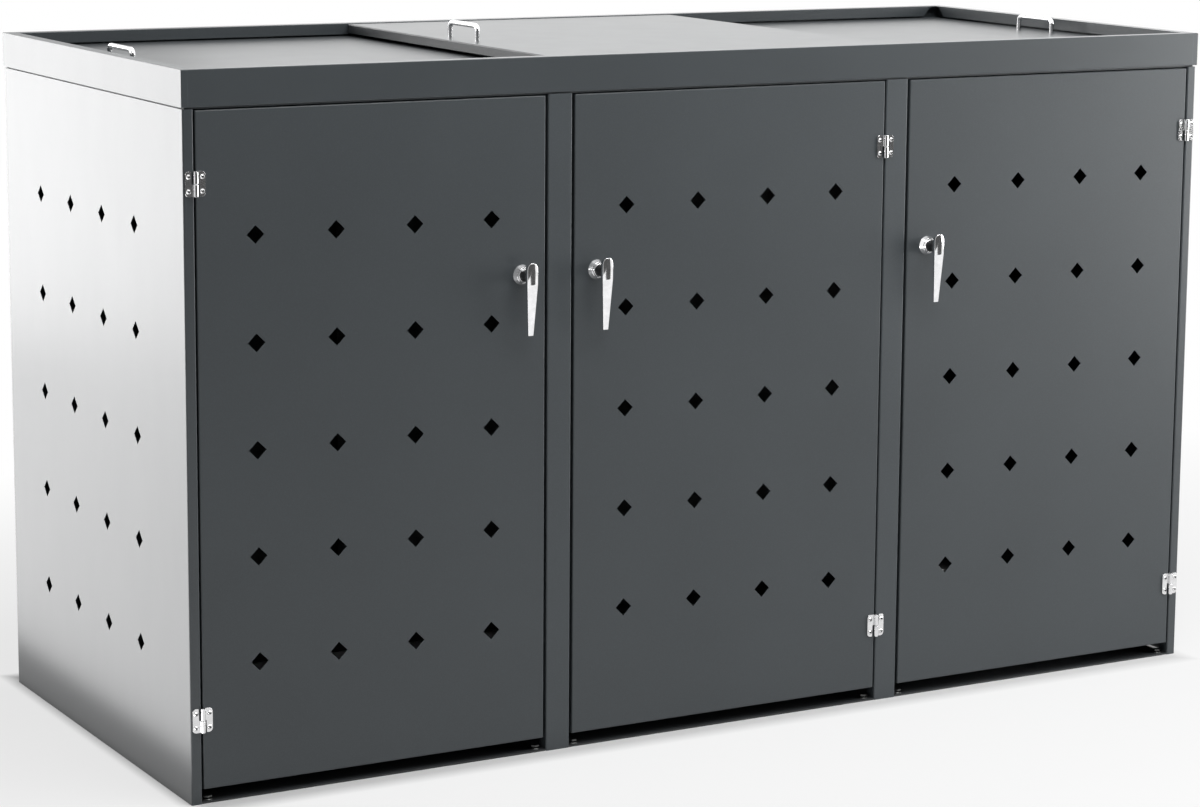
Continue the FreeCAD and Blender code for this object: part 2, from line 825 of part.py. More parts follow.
def neck(bay, x):
    shoulder = rosette_height + neck_clearance
    points = [(0, cam_front - front), (spindle_radius, cam_front - front)]
    points += [(spindle_radius, shoulder), (neck_radius, shoulder)]
    points += [(neck_radius, neck_end), (0, neck_end)]
    put_outward(turned(f"neck_{bay}", points), x, handle_z, f"neck_{bay}")


def bevelled(width, near, far):
    """A lever's section: a rectangle with its four corners cut off."""
    half = width / 2
    return [
        (-half, near + lever_bevel),
        (lever_bevel - half, near),
        (half - lever_bevel, near),
        (half, near + lever_bevel),
        (half, far - lever_bevel),
        (half - lever_bevel, far),
        (lever_bevel - half, far),
        (-half, far - lever_bevel),
    ]


def lever(bay, x):
    body = new_body(f"lever_{bay}")
    near = -front - neck_end - lever_thickness
    far = -front - neck_end
    tip_near = near + lever_tip_inward
    top_width = lever_head_width - 2 * lever_crown
    sections = [
        (lever_above, bevelled(top_width, near + lever_crown, far - lever_crown)),
        (lever_above - lever_crown, bevelled(lever_head_width, near, far)),
        (-neck_radius - lever_bevel, bevelled(lever_head_width, near, far)),
        (-lever_below, bevelled(lever_tip_width, tip_near, tip_near + lever_tip_thickness)),
    ]
    sketches = []
    for height, points in sections:
        sketch = new_sketch(body, "XY_Plane", height)
        outline(sketch, points)
        sketches.append(sketch)
    doc.recompute()
    loft = body.newObject("PartDesign::AdditiveLoft", "Loft")
    loft.Profile = sketches[0]
    loft.Sections = sketches[1:]
    loft.Ruled = True
    place(body, x, 0, handle_z)
    return keep(body, f"lever_{bay}")


def cam(bay, x):
    """The tongue points up; a quarter turn of the lever brings it behind the post."""
    back = cam_front - cam_thickness
    centre = (x, handle_z)
    half = cam_width / 2
    tongue_y = (-cam_front, -back)
    tongue = block(f"cam_{bay}_tongue", (x - half, x + half), tongue_y, (handle_z, handle_z + cam_length))
    hub = rod(f"cam_{bay}_hub", half, back, cam_front, centre, True)
    low = back - cam_nut_height
    nut = six_sided(f"cam_{bay}_nut", 2 * cam_nut_radius, low, back, centre, True)
    keep(joined(f"cam_{bay}", [tongue, hub, nut]), f"cam_{bay}")


# Doors
def door(bay, low, hinge_side):
    """One door; hinge_side is -1 for hinges at its left, +1 at its right."""
    body = new_body(f"door_{bay}")
    if hinge_side < 0:
        left = low + hinge_gap
        hinge_x = low + hinge_gap / 2
        handle_x = left + door_width - handle_inset
    else:
        left = low + latch_gap
        hinge_x = low + bay_width - hinge_gap / 2
        handle_x = left + handle_inset
    x = (left, left + door_width)
    z = (door_low, door_high)
    pan(body, x, z)
    vent_height = door_middle if hinge_side < 0 else door_middle + door_vent_rise
    centre = (left + door_width / 2, vent_height)
    add_vents(body, "XZ_Plane", front + sheet_steel, centre, door_vent_step)
    sketch = new_sketch(body, "XZ_Plane", front + sheet_steel)
    ring(sketch, (handle_x, handle_z), spindle_radius + 2 * spindle_clearance)
    pocket(body, sketch, 3 * sheet_steel)
    round_edges(body, edge_radius, pan_corners(x, z))
    keep(body, f"door_{bay}")
    door_hinges(bay, hinge_x, -hinge_side)
    rosette(bay, handle_x)
    neck(bay, handle_x)
    lever(bay, handle_x)
    cam(bay, handle_x)


for bay_name, bay_low, hinge_side in zip(("left", "mid", "right"), bay_lows, (-1, 1, 1)):
    door(bay_name, bay_low, hinge_side)

group("hinge_frame_leaves", frame_leaves)
group("hinge_frame_screws", frame_screws)
group("hinge_pins", pins)


# Sliding lids: trays turned upside down, on plastic glides, each with a pull
def lid_tray(label, x, half_deep, low, top):
    body = new_body(label)
    left, right = x
    add_block(body, x, (-half_deep, half_deep), (low, top))
    inside_x = (left + sheet_steel, right - sheet_steel)
    inside_y = half_deep - sheet_steel
    cut_block(body, inside_x, (-inside_y, inside_y), (low - cut_margin, top - sheet_steel))
    rims = [{"x": place_x, "z": top} for place_x in x]
    rims += [{"y": side * half_deep, "z": top} for side in (-1, 1)]
    round_edges(body, edge_radius, edges_at(*rims))
    return keep(body, label)


def lid_glides(label, x, half_deep, low, foot, runners):
    """Four clips that grip the skirt and stand down to a height; runners reach under the lip."""
    left, right = x
    clips = []
    starts = (left + glide_inset, right - glide_inset - glide_length)
    for end, start in zip(("left", "right"), starts):
        for side, side_name in ((-1, "front"), (1, "back")):
            name = f"{label}_{end}_{side_name}"
            middle = side * (half_deep - sheet_steel / 2)
            y = (middle - glide_width / 2, middle + glide_width / 2)
            grip_top = low + glide_grip
            length = (start, start + glide_length)
            clip = block(f"{name}_block", length, y, (foot, grip_top))
            if runners:
                reach = (middle, side * (rail_outer_y - runner_end_gap))
                runner = block(f"{name}_runner", length, reach, (runner_low, runner_high))
                clip = joined(f"{name}_bent", [clip, runner])
            slot_y = (side * half_deep, side * (half_deep - sheet_steel))
            slot_x = (start - cut_margin, start + glide_length + cut_margin)
            slot = block(f"{name}_slot", slot_x, slot_y, (low, grip_top + cut_margin))
            clips.append(less(name, clip, slot))
    group(label, clips)


def pull(label, x, top):
    """A round bar with two legs, bent across the store's depth."""
    body = new_body(label)
    half = pull_span / 2
    crest = pull_height - pull_bar_radius
    bend_low = crest - pull_bend
    bend_in = half - pull_bend
    path = new_sketch(body, "YZ_Plane", 0)
    corners = [(-half, 0), (-half, bend_low), (-bend_in, crest)]
    corners += [(bend_in, crest), (half, bend_low), (half, 0)]
    points = [Vector(as_size(y).number, as_size(z).number, 0) for y, z in corners]
    sin45 = 0.5**0.5
    turn = pull_bend.number * (1 - sin45)
    middles = [
        Vector(points[1].x + turn, points[2].y - turn, 0),
        Vector(points[4].x - turn, points[3].y - turn, 0),
    ]
    path.addGeometry(Part.LineSegment(points[0], points[1]), False)
    path.addGeometry(Part.Arc(points[1], middles[0], points[2]), False)
    path.addGeometry(Part.LineSegment(points[2], points[3]), False)
    path.addGeometry(Part.Arc(points[3], middles[1], points[4]), False)
    path.addGeometry(Part.LineSegment(points[4], points[5]), False)
    for line, ends in ((0, (0, 1)), (2, (2, 3)), (4, (4, 5))):
        for end, number in zip((1, 2), ends):
            pin_point(path, line, end, corners[number])
    for arc in (1, 3):
        for line in (arc - 1, arc + 1):
            ends = [(p, q) for p in (1, 2) for q in (1, 2)]
            near = min(ends, key=lambda pq: gap_between(path, line, arc, pq))
            path.addConstraint(Sketcher.Constraint("Coincident", line, near[0], arc, near[1]))
        held = path.addConstraint(Sketcher.Constraint("Radius", arc, pull_bend.number))
        path.setExpression(f"Constraints[{held}]", pull_bend.formula)
    section = new_sketch(body, "XY_Plane", 0)
    ring(section, (0, -half), pull_bar_radius)
    doc.recompute()
    pipe = body.newObject("PartDesign::AdditivePipe", "Pipe")
    pipe.Profile = section
    pipe.Spine = (path, [])
    place(body, x, 0, top)
    return keep(body, label)


def gap_between(sketch, line, arc, ends):
    """How far one end of a line is from one end of an arc."""
    return (sketch.getPoint(line, ends[0]) - sketch.getPoint(arc, ends[1])).Length


def side_lid(bay, side):
    """An outer lid; side is -1 for the left one, +1 for the right one."""
    x = ordered(side * side_lid_near, side * side_lid_far)
    low = side_lid_top - side_lid_skirt
    lid_tray(f"lid_{bay}", x, side_lid_half_depth, low, side_lid_top)
    lid_glides(f"lid_glides_{bay}", x, side_lid_half_depth, low, low - glide_drop, False)
    pull(f"lid_pull_{bay}", side * (half_width - side_pull_inset), side_lid_top)


def mid_lid():
    x = (-mid_lid_half_width, mid_lid_half_width)
    low = mid_lid_top - mid_lid_skirt
    lid_tray("lid_mid", x, mid_lid_half_depth, low, mid_lid_top)
    lid_glides("lid_glides_mid", x, mid_lid_half_depth, low, runner_low, True)
    pull("lid_pull_mid", mid_pull_inset - mid_lid_half_width, mid_lid_top)


side_lid("left", -1)
mid_lid()
side_lid("right", 1)


# Check and write every piece
def write_pieces():
    doc.recompute()
    for thing in doc.Objects:
        if "Invalid" in thing.State or "Error" in thing.State:
            raise RuntimeError(f"{thing.Name} ({thing.Label}) is in state {thing.State}")
    os.makedirs("parts", exist_ok=True)
    for piece in pieces:
        shape = piece.Shape
        if shape.isNull() or not shape.isValid() or shape.Volume <= 0:
            raise RuntimeError(f"{piece.Label} has no valid shape")
        shape.exportStep(f"parts/{piece.Label}.step")
        box = shape.BoundBox
        spans = [round(n, 1) for n in (box.XMin, box.XMax, box.YMin, box.YMax, box.ZMin, box.ZMax)]
        print(f"{piece.Label}: {len(shape.Solids)} solid(s), {spans}")


write_pieces()
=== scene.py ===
import json
import math

import bmesh
import bpy
from mathutils import Matrix, Quaternion, Vector


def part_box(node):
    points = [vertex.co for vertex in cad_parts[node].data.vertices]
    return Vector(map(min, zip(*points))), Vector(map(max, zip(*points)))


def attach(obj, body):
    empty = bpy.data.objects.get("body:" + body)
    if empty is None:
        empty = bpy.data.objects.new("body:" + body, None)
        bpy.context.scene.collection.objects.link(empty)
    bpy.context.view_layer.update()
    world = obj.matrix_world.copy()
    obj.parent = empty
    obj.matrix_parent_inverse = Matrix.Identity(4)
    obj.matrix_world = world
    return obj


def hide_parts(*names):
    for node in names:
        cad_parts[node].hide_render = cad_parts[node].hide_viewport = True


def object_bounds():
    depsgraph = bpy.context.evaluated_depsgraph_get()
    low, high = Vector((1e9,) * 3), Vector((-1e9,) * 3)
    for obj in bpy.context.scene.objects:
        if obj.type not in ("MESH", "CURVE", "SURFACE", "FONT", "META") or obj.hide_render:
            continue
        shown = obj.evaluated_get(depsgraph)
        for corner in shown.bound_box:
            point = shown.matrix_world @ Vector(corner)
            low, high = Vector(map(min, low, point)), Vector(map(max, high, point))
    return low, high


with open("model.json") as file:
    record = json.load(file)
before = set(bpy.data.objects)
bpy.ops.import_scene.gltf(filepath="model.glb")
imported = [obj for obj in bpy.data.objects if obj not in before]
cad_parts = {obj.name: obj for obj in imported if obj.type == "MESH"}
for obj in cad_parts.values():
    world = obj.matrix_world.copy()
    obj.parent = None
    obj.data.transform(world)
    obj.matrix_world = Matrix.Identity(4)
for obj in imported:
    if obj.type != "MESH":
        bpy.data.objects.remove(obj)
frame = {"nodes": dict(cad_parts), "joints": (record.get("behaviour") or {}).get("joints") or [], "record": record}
CAD_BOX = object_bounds()
NODES = frame["nodes"]
SLOTS = {part["node"]: part["material_slot"] for part in frame["record"]["subparts"]}
BAYS = ("left", "mid", "right")

bl_info = {
    "name": "Wheelie Bin Store",
    "version": (1, 0, 0),
    "blender": (4, 5, 0),
    "location": "3D View > Sidebar > Bin Store",
    "description": "Finishes, fittings and stage of a wheelie bin store",
    "category": "Object",
}

TURN_STEPS = 48
ARCH_STEPS = 12
SHARP_ANGLE = math.radians(32)

# A screw head's dome in shares of its height: the drum, then each step's rise and its width
# against the step below.
DOME_BASE = 0.20
DOME_STEPS = ((0.250, 0.892), (0.218, 0.861), (0.184, 0.822), (0.148, 0.800))


# Sizes and colours

def length(name, description, default):
    """A size in metres, shown in the scene's own unit."""
    return bpy.props.FloatProperty(
        name=name, description=description, default=default, min=0.0,
        precision=5, subtype="DISTANCE", unit="LENGTH",
    )


def share(name, description, default):
    """A plain number between nothing and all."""
    return bpy.props.FloatProperty(
        name=name, description=description, default=default, min=0.0, max=1.0, subtype="FACTOR",
    )


def colour(name, description, default):
    """A colour with full alpha."""
    return bpy.props.FloatVectorProperty(
        name=name, description=description, default=(*default, 1.0), size=4,
        min=0.0, max=1.0, subtype="COLOR",
    )


def angle(name, description, degrees):
    """An angle, kept in radians and shown in degrees."""
    return bpy.props.FloatProperty(
        name=name, description=description, default=math.radians(degrees),
        subtype="ANGLE", unit="ROTATION",
    )


class BinStorePaint(bpy.types.PropertyGroup):
    """Powder paint of the sheet steel."""

    panel_colour: colour("Panels", "Doors, sides, posts and rim", (0.042, 0.049, 0.054))
    lid_colour: colour("Lids", "The sliding lids", (0.046, 0.051, 0.055))
    # About half as bright as the panels' paint: painted shade for the plates in the shadow under the doors.
    base_colour: colour("Base plates", "Thresholds and floor ties", (0.022, 0.024, 0.026))
    panel_roughness: share("Panel roughness", "Doors, posts and back; the rest goes by it", 0.42)
    lid_roughness: share("Lid roughness", "The sliding lids", 0.34)
    side_roughness: share("Side roughness", "The two side panels", 0.36)
    side_gloss: share("Side gloss", "Share of lacquer over the side panels", 0.2)
    gloss_roughness: share("Gloss roughness", "Roughness of that lacquer", 0.24)
    peel_size: length("Orange peel size", "Between the paint's small waves", 0.0032)
    peel_depth: length("Orange peel depth", "Height of the paint's small waves", 0.00004)
    ripple_size: length("Ripple size", "Between the sheet's long waves", 0.42)
    ripple_depth: length("Ripple depth", "Height of the sheet's long waves", 0.0002)
    edge_width: length("Edge width", "Thinner paint along the folds", 0.0022)


class BinStoreMetal(bpy.types.PropertyGroup):
    """Bare and plated metal, and black plastic."""

    chrome_colour: colour("Chrome", "Levers and rosettes", (0.90, 0.90, 0.91))
    steel_colour: colour("Stainless steel", "Hinges, screws and lid pulls", (0.78, 0.78, 0.785))
    zinc_colour: colour("Zinc", "Bolts and latch tongues", (0.55, 0.56, 0.55))
    black_colour: colour("Black", "Handle necks and lid glides", (0.012, 0.012, 0.013))


class BinStoreHinge(bpy.types.PropertyGroup):
    """Butt hinges and their screws."""

    leaf_thickness: length("Leaf thickness", "Thickness of a leaf", 0.0025)
    leaf_height: length("Leaf height", "Height of a leaf", 0.040)
    leaf_width: length("Leaf width", "From the pin to a leaf's edge", 0.017)
    leaf_corner: length("Leaf corner", "Radius of a leaf's outer corners", 0.0055)
    barrel_radius: length("Barrel radius", "Radius round the pin", 0.004)
    barrel_gap: length("Barrel gap", "Between the two halves of the barrel", 0.0008)
    leaf_gap: length("Leaf gap", "Between a leaf and the other's barrel", 0.0030)
    pin_radius: length("Pin radius", "Radius of the hinge pin", 0.002)
    edge_round: length("Edge rounding", "Rounding of the leaves' edges", 0.0013)
    small_round: length("Small rounding", "Barrel's ends and the leaf's step", 0.0006)
    screw_radius: length("Screw head radius", "Radius of a button head", 0.004)
    screw_height: length("Screw head height", "Height of a button head", 0.0024)
    socket_across: length("Socket", "Hexagon socket across its flats", 0.0034)
    socket_depth: length("Socket depth", "Depth of the hexagon socket", 0.0017)


class BinStoreHandle(bpy.types.PropertyGroup):
    """Turning lever, its neck and its rosette."""

    rosette_radius: length("Rosette radius", "Where the rosette meets the door", 0.0172)
    rosette_top: length("Rosette top radius", "At the rosette's outer end", 0.011)
    rosette_groove: length("Rosette groove", "From the door to the groove", 0.0079)
    rosette_bore: length("Rosette bore", "Hole for the spindle", 0.0055)
    neck_radius: length("Neck radius", "Radius of the black neck", 0.0097)
    head_width: length("Head width", "Width of the lever's head", 0.0195)
    tip_width: length("Tip width", "Width of the lever's tip", 0.0095)
    head_arch: length("Head arch", "Height of the head's round top", 0.0125)
    head_below: length("Head below pivot", "The head's reach under the pivot", 0.0120)
    ridge: length("Ridge", "How far the head's middle stands proud", 0.0024)
    tip_lean: length("Tip lean", "How far the tip lies behind the ridge", 0.0085)
    back_lean: length("Back lean", "How far its back leans towards the door", 0.0035)
    lever_round: length("Lever rounding", "Rounding along the lever's rim", 0.0009)


class BinStoreLid(bpy.types.PropertyGroup):
    """Pulls on the lids and bolts in the base."""

    bar_radius: length("Bar radius", "Radius of a pull's round bar", 0.0045)
    bend_radius: length("Bend radius", "Radius of a pull's two bends", 0.009)
    bolt_across: length("Bolt head", "Bolt head across its flats", 0.013)
    bolt_height: length("Bolt height", "Height of a bolt head", 0.0055)
    washer_radius: length("Washer radius", "Radius of a washer", 0.0085)
    washer_height: length("Washer height", "Thickness of a washer", 0.0016)


class BinStoreStage(bpy.types.PropertyGroup):
    """Floor, light and camera."""

    floor_colour: colour("Floor", "Pale floor", (0.68, 0.68, 0.68))
    floor_near: length("Floor in front", "Its reach in front of the doors", 3.6)
    floor_far: length("Floor behind", "Its reach behind the store and to each side", 9.0)
    shadow_inside: length("Shadow reach", "Where the floor's shadow begins to fade", 1.0)
    white_outside: length("White from", "Where the floor has turned white", 2.2)
    shadow_share: share("Shadow", "Share of the floor's own shadow that shows", 0.27)
    ambient: share("Ambient", "Brightness of the room on matt surfaces", 0.13)
    dark_side: share("Dark side", "Brightness behind the camera, in gloss", 0.09)
    lens: bpy.props.FloatProperty(
        name="Lens", description="Focal length on a 36 mm sensor", default=98.033,
        min=1.0, subtype="DISTANCE_CAMERA",
    )
    azimuth: angle("Azimuth", "Camera heading, to the right", 30.2138)
    elevation: angle("Elevation", "How far the camera looks down", 9.4312)
    roll: angle("Roll", "Camera roll", 0.5836)
    position: bpy.props.FloatVectorProperty(
        name="Camera position", description="Where the camera stands",
        default=(-2.8793, -5.1518, 1.6146), size=3, subtype="TRANSLATION", unit="LENGTH",
    )
    shift: bpy.props.FloatVectorProperty(
        name="Shift", description="The picture's shift, sideways and upwards",
        default=(-0.05762, -0.05977), size=2,
    )


# Finishes

class NodeTree:
    """Nodes under construction."""

    def feed(self, socket, value):
        """Links an output to the socket, or writes a plain value on it."""
        if isinstance(value, bpy.types.NodeSocket):
            self.tree.links.new(value, socket)
        else:
            socket.default_value = value


class ShaderTree(NodeTree):
    """The shader nodes of a material or a world."""

    def __init__(self, owner):
        owner.use_nodes = True
        self.tree = owner.node_tree

    def add(self, kind, **inputs):
        """A new node, with its inputs fed."""
        return self.fill(self.tree.nodes.new(kind), inputs)

    def fill(self, node, inputs):
        """Feeds a node's inputs by name, with an underscore for each space."""
        for name, value in inputs.items():
            self.feed(node.inputs[name.replace("_", " ").title()], value)
        return node

    def compute(self, operation, *values, kind="ShaderNodeMath"):
        """The number that a Math or Vector Math operation gives."""
        node = self.tree.nodes.new(kind)
        node.operation = operation
        for socket, value in zip(node.inputs, values):
            self.feed(socket, value)
        return node.outputs["Value"]

    def times(self, first, second):
        """The product of two values."""
        return self.compute("MULTIPLY", first, second)

    def largest(self, *values):
        """The largest of the values."""
        most = values[0]
        for value in values[1:]:
            most = self.compute("MAXIMUM", most, value)
        return most

    def spread(self, value, low, high, start=0.3, end=0.7, ease="LINEAR"):
        """Maps start to end onto low to high, and stops there."""
        limits = {"From_Min": start, "From_Max": end, "To_Min": low, "To_Max": high}
        node = self.add("ShaderNodeMapRange", Value=value, **limits)
        node.interpolation_type = ease
        return node.outputs["Result"]

    def blend(self, factor, first, second, kind="Color"):
        """A colour between two, or with kind Float a number, by the factor."""
        node = self.tree.nodes.new("ShaderNodeMix")
        node.data_type = "RGBA" if kind == "Color" else "FLOAT"
        sockets = {s.identifier: s for s in (*node.inputs, *node.outputs)}
        self.feed(sockets["Factor_Float"], factor)
        self.feed(sockets[f"A_{kind}"], first)
        self.feed(sockets[f"B_{kind}"], second)
        return sockets[f"Result_{kind}"]


class Finish(ShaderTree):
    """A material, in the store's own coordinates."""

    def __init__(self, name):
        self.material = bpy.data.materials.new(name)
        super().__init__(self.material)
        self.shader = self.tree.nodes["Principled BSDF"]
        self.place = self.add("ShaderNodeTexCoord").outputs["Object"]
        self.normal = None

    def stretched(self, scale):
        """The store's coordinates, squeezed by one factor per axis."""
        return self.add("ShaderNodeMapping", Vector=self.place, Scale=scale).outputs["Vector"]

    def noise(self, size, detail=2.0, along=None):
        """Cloudy pattern from 0 to 1, with that many metres between its clouds."""
        where = self.stretched(along) if along else self.place
        return self.add("ShaderNodeTexNoise", Vector=where, Scale=1.0 / size, Detail=detail).outputs["Fac"]

    def worn_edge(self, width):
        """1 along sharp folds and cut edges, 0 on the flat."""
        soft = self.add("ShaderNodeBevel", Radius=width)
        soft.samples = 4
        true = self.add("ShaderNodeNewGeometry")
        normals = (soft.outputs["Normal"], true.outputs["Normal"])
        likeness = self.compute("DOT_PRODUCT", *normals, kind="ShaderNodeVectorMath")
        return self.spread(likeness, low=1.0, high=0.0, start=0.86, end=0.995)

    def emboss(self, height, depth):
        """Lays a relief of that depth in metres over the reliefs before it."""
        node = self.add("ShaderNodeBump", Height=height, Distance=depth)
        if self.normal is not None:
            self.feed(node.inputs["Normal"], self.normal)
        self.normal = node.outputs["Normal"]

    def done(self, **inputs):
        """Sets the shader and returns the material."""
        self.fill(self.shader, inputs)
        if self.normal is not None:
            self.feed(self.shader.inputs["Normal"], self.normal)
        return self.material


def shade(tint, factor):
    """The colour made lighter or darker, with full alpha."""
    return (*[min(1.0, c * factor) for c in tint[:3]], 1.0)


def powder_coat(name, tint, roughness, gloss, paint):
    """Baked powder paint: orange peel, a faint ripple of the sheet, thinner along the folds."""
    coat = Finish(name)
    cloud = coat.noise(size=0.30, detail=4.0)
    grain = coat.noise(size=0.0014)
    scuff = coat.noise(size=0.018, detail=3.0)
    smear = coat.noise(size=0.055, detail=4.0, along=(1.0, 1.0, 0.3))
    body = coat.blend(coat.spread(cloud, 0.0, 1.0), shade(tint, 0.93), shade(tint, 1.06))
    speck = coat.spread(grain, low=0.0, high=0.35, start=0.45, end=0.72)
    body = coat.blend(speck, body, shade(tint, 1.5))
    rub = coat.times(coat.worn_edge(paint.edge_width), coat.spread(scuff, 0.15, 0.6))
    body = coat.blend(rub, body, shade(tint, 2.1))
    coat.emboss(coat.noise(paint.ripple_size, detail=1.0), paint.ripple_depth)
    coat.emboss(coat.noise(paint.peel_size, detail=1.5), paint.peel_depth)
    rough = coat.spread(smear, roughness - 0.006, roughness + 0.008)
    lacquer = {"Coat_Weight": gloss, "Coat_Roughness": paint.gloss_roughness}
    return coat.done(Base_Color=body, Roughness=rough, **lacquer)


def bright_metal(name, tint, roughness, lines=None):
    """Polished metal with fine polishing lines; lines stretches them per axis."""
    metal = Finish(name)
    haze = metal.noise(size=0.011, detail=3.0)
    fine = metal.noise(size=0.0009, detail=3.0, along=lines)
    body = metal.blend(metal.spread(haze, 0.0, 1.0), shade(tint, 0.93), shade(tint, 1.04))
    metal.emboss(fine, depth=0.000002)
    rough = metal.spread(fine, roughness * 0.75, roughness * 1.35)
    return metal.done(Base_Color=body, Metallic=1.0, Roughness=rough)


def zinc_plate(name, tint):
    """Dull plated steel with a pale bloom of crystals."""
    plate = Finish(name)
    bloom_colour = (0.62, 0.60, 0.52, 1.0)
    crystal_size = 0.0022
    cells = plate.add("ShaderNodeTexVoronoi", Vector=plate.place, Scale=1.0 / crystal_size)
    crystals = plate.add("ShaderNodeSeparateColor", Color=cells.outputs["Color"]).outputs["Red"]
    bloom = plate.noise(size=0.006, detail=4.0)
    body = plate.blend(crystals, shade(tint, 0.85), shade(tint, 1.12))
    pale = plate.spread(bloom, low=0.0, high=0.5, start=0.5, end=0.75)
    body = plate.blend(pale, body, bloom_colour)
    plate.emboss(crystals, depth=0.00001)
    return plate.done(Base_Color=body, Metallic=1.0, Roughness=plate.spread(bloom, 0.28, 0.5))


def black_plastic(name, tint, roughness):
    """Moulded black plastic with a fine spark texture."""
    plastic = Finish(name)
    spark = plastic.noise(size=0.0005)
    dust = plastic.noise(size=0.009, detail=4.0)
    film = plastic.spread(dust, low=0.0, high=1.0, start=0.4, end=0.8)
    body = plastic.blend(film, tint, shade(tint, 1.9))
    plastic.emboss(spark, depth=0.00002)
    return plastic.done(Base_Color=body, Roughness=plastic.spread(dust, roughness, roughness + 0.12))


def wear(slot, material):
    """Gives the frame's nodes with a material slot their finish."""
    for node in (node for node, given in SLOTS.items() if given == slot):
        target = NODES[node]
        if not target.material_slots:
            target.data.materials.append(material)
        for place in target.material_slots:
            place.material = material


# Mesh helpers

def rounded_path(corners, steps=6):
    """The closed path through (x, y, radius) corners, each turned into an arc."""
    path = []
    count = len(corners)
    for number, (x, y, radius) in enumerate(corners):
        here = Vector((x, y))
        before = Vector(corners[number - 1][:2])
        after = Vector(corners[(number + 1) % count][:2])
        if radius <= 0.0:
            path.append(here)
            continue
        to_before = (before - here).normalized()
        to_after = (after - here).normalized()
        half = to_before.angle(to_after) / 2
        reach = radius / math.tan(half)
        centre = here + (to_before + to_after).normalized() * (radius / math.sin(half))
        start = here + to_before * reach - centre
        sweep = start.angle_signed(here + to_after * reach - centre)
        for step in range(steps + 1):
            path.append(centre + Matrix.Rotation(-sweep * step / steps, 2) @ start)
    return path


def turned(bm, profile, place, ring):
    """A solid of revolution from (radius, height) points; a ring is closed, else it ends on two discs."""
    circles = []
    for radius, height in profile:
        circle = []
        for step in range(TURN_STEPS):
            turn = 2 * math.pi * step / TURN_STEPS
            point = Vector((radius * math.cos(turn), radius * math.sin(turn), height))
            circle.append(bm.verts.new(place @ point))
        circles.append(circle)
    following = circles[1:] + circles[:1] if ring else circles[1:]
    for circle, other in zip(circles, following):
        for step in range(TURN_STEPS):
            after = (step + 1) % TURN_STEPS
            bm.faces.new((circle[step], circle[after], other[after], other[step]))
    if not ring:
        bm.faces.new(circles[0])
        bm.faces.new(circles[-1])


def soften(bm, edges, width, segments):
    """Rounds the edges of a piece."""
    bmesh.ops.bevel(
        bm, geom=edges, offset=width, segments=segments,
        profile=0.5, affect="EDGES", clamp_overlap=True,
    )


def slab(bm, outline, near, far, edge_round):
    """A plate from an outline of (x, z) points between two depths, with softened rims."""
    front = [bm.verts.new((x, near, z)) for x, z in outline]
    back = [bm.verts.new((x, far, z)) for x, z in outline]
    bm.faces.new(front)
    bm.faces.new(list(reversed(back)))
    rims = []
    for number in range(len(outline)):
        after = (number + 1) % len(outline)
        bm.faces.new((front[after], front[number], back[number], back[after]))
        rims.append((front[number], front[after]))
    soften(bm, [bm.edges.get(pair) for pair in rims], edge_round, segments=3)


def finish_piece(name, bm, material, body, nodes):
    """Turns a finished mesh into a piece that stands for its nodes and rides on a body."""
    bmesh.ops.recalc_face_normals(bm, faces=bm.faces)
    mesh = bpy.data.meshes.new(name)
    bm.to_mesh(mesh)
    bm.free()
    mesh.shade_smooth()
    mesh.set_sharp_from_angle(angle=SHARP_ANGLE)
    mesh.materials.append(material)
    set_up(name, mesh, body, nodes)


def set_up(name, mesh, body, nodes):
    """Links a mesh as a piece, with even shading."""
    piece = bpy.data.objects.new(name, mesh)
    bpy.context.scene.collection.objects.link(piece)
    even = piece.modifiers.new("even_shading", "WEIGHTED_NORMAL")
    even.keep_sharp = True
    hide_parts(*nodes)
    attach(piece, body)


def solid_boxes(node, reach):
    """The boxes of a node's separate solids, which stand further apart than reach."""
    boxes = []
    for vertex in NODES[node].data.vertices:
        for low, high in boxes:
            middle = (low + high) / 2
            if (vertex.co - middle).length < reach:
                for axis in range(3):
                    low[axis] = min(low[axis], vertex.co[axis])
                    high[axis] = max(high[axis], vertex.co[axis])
                break
        else:
            boxes.append((vertex.co.copy(), vertex.co.copy()))
    return boxes


def pivot_of(child):
    """A point on the axis of the hinge that carries a body."""
    return next(joint for joint in frame["joints"] if joint["child"] == child)["pos_m"]


# Geometry Nodes recipes

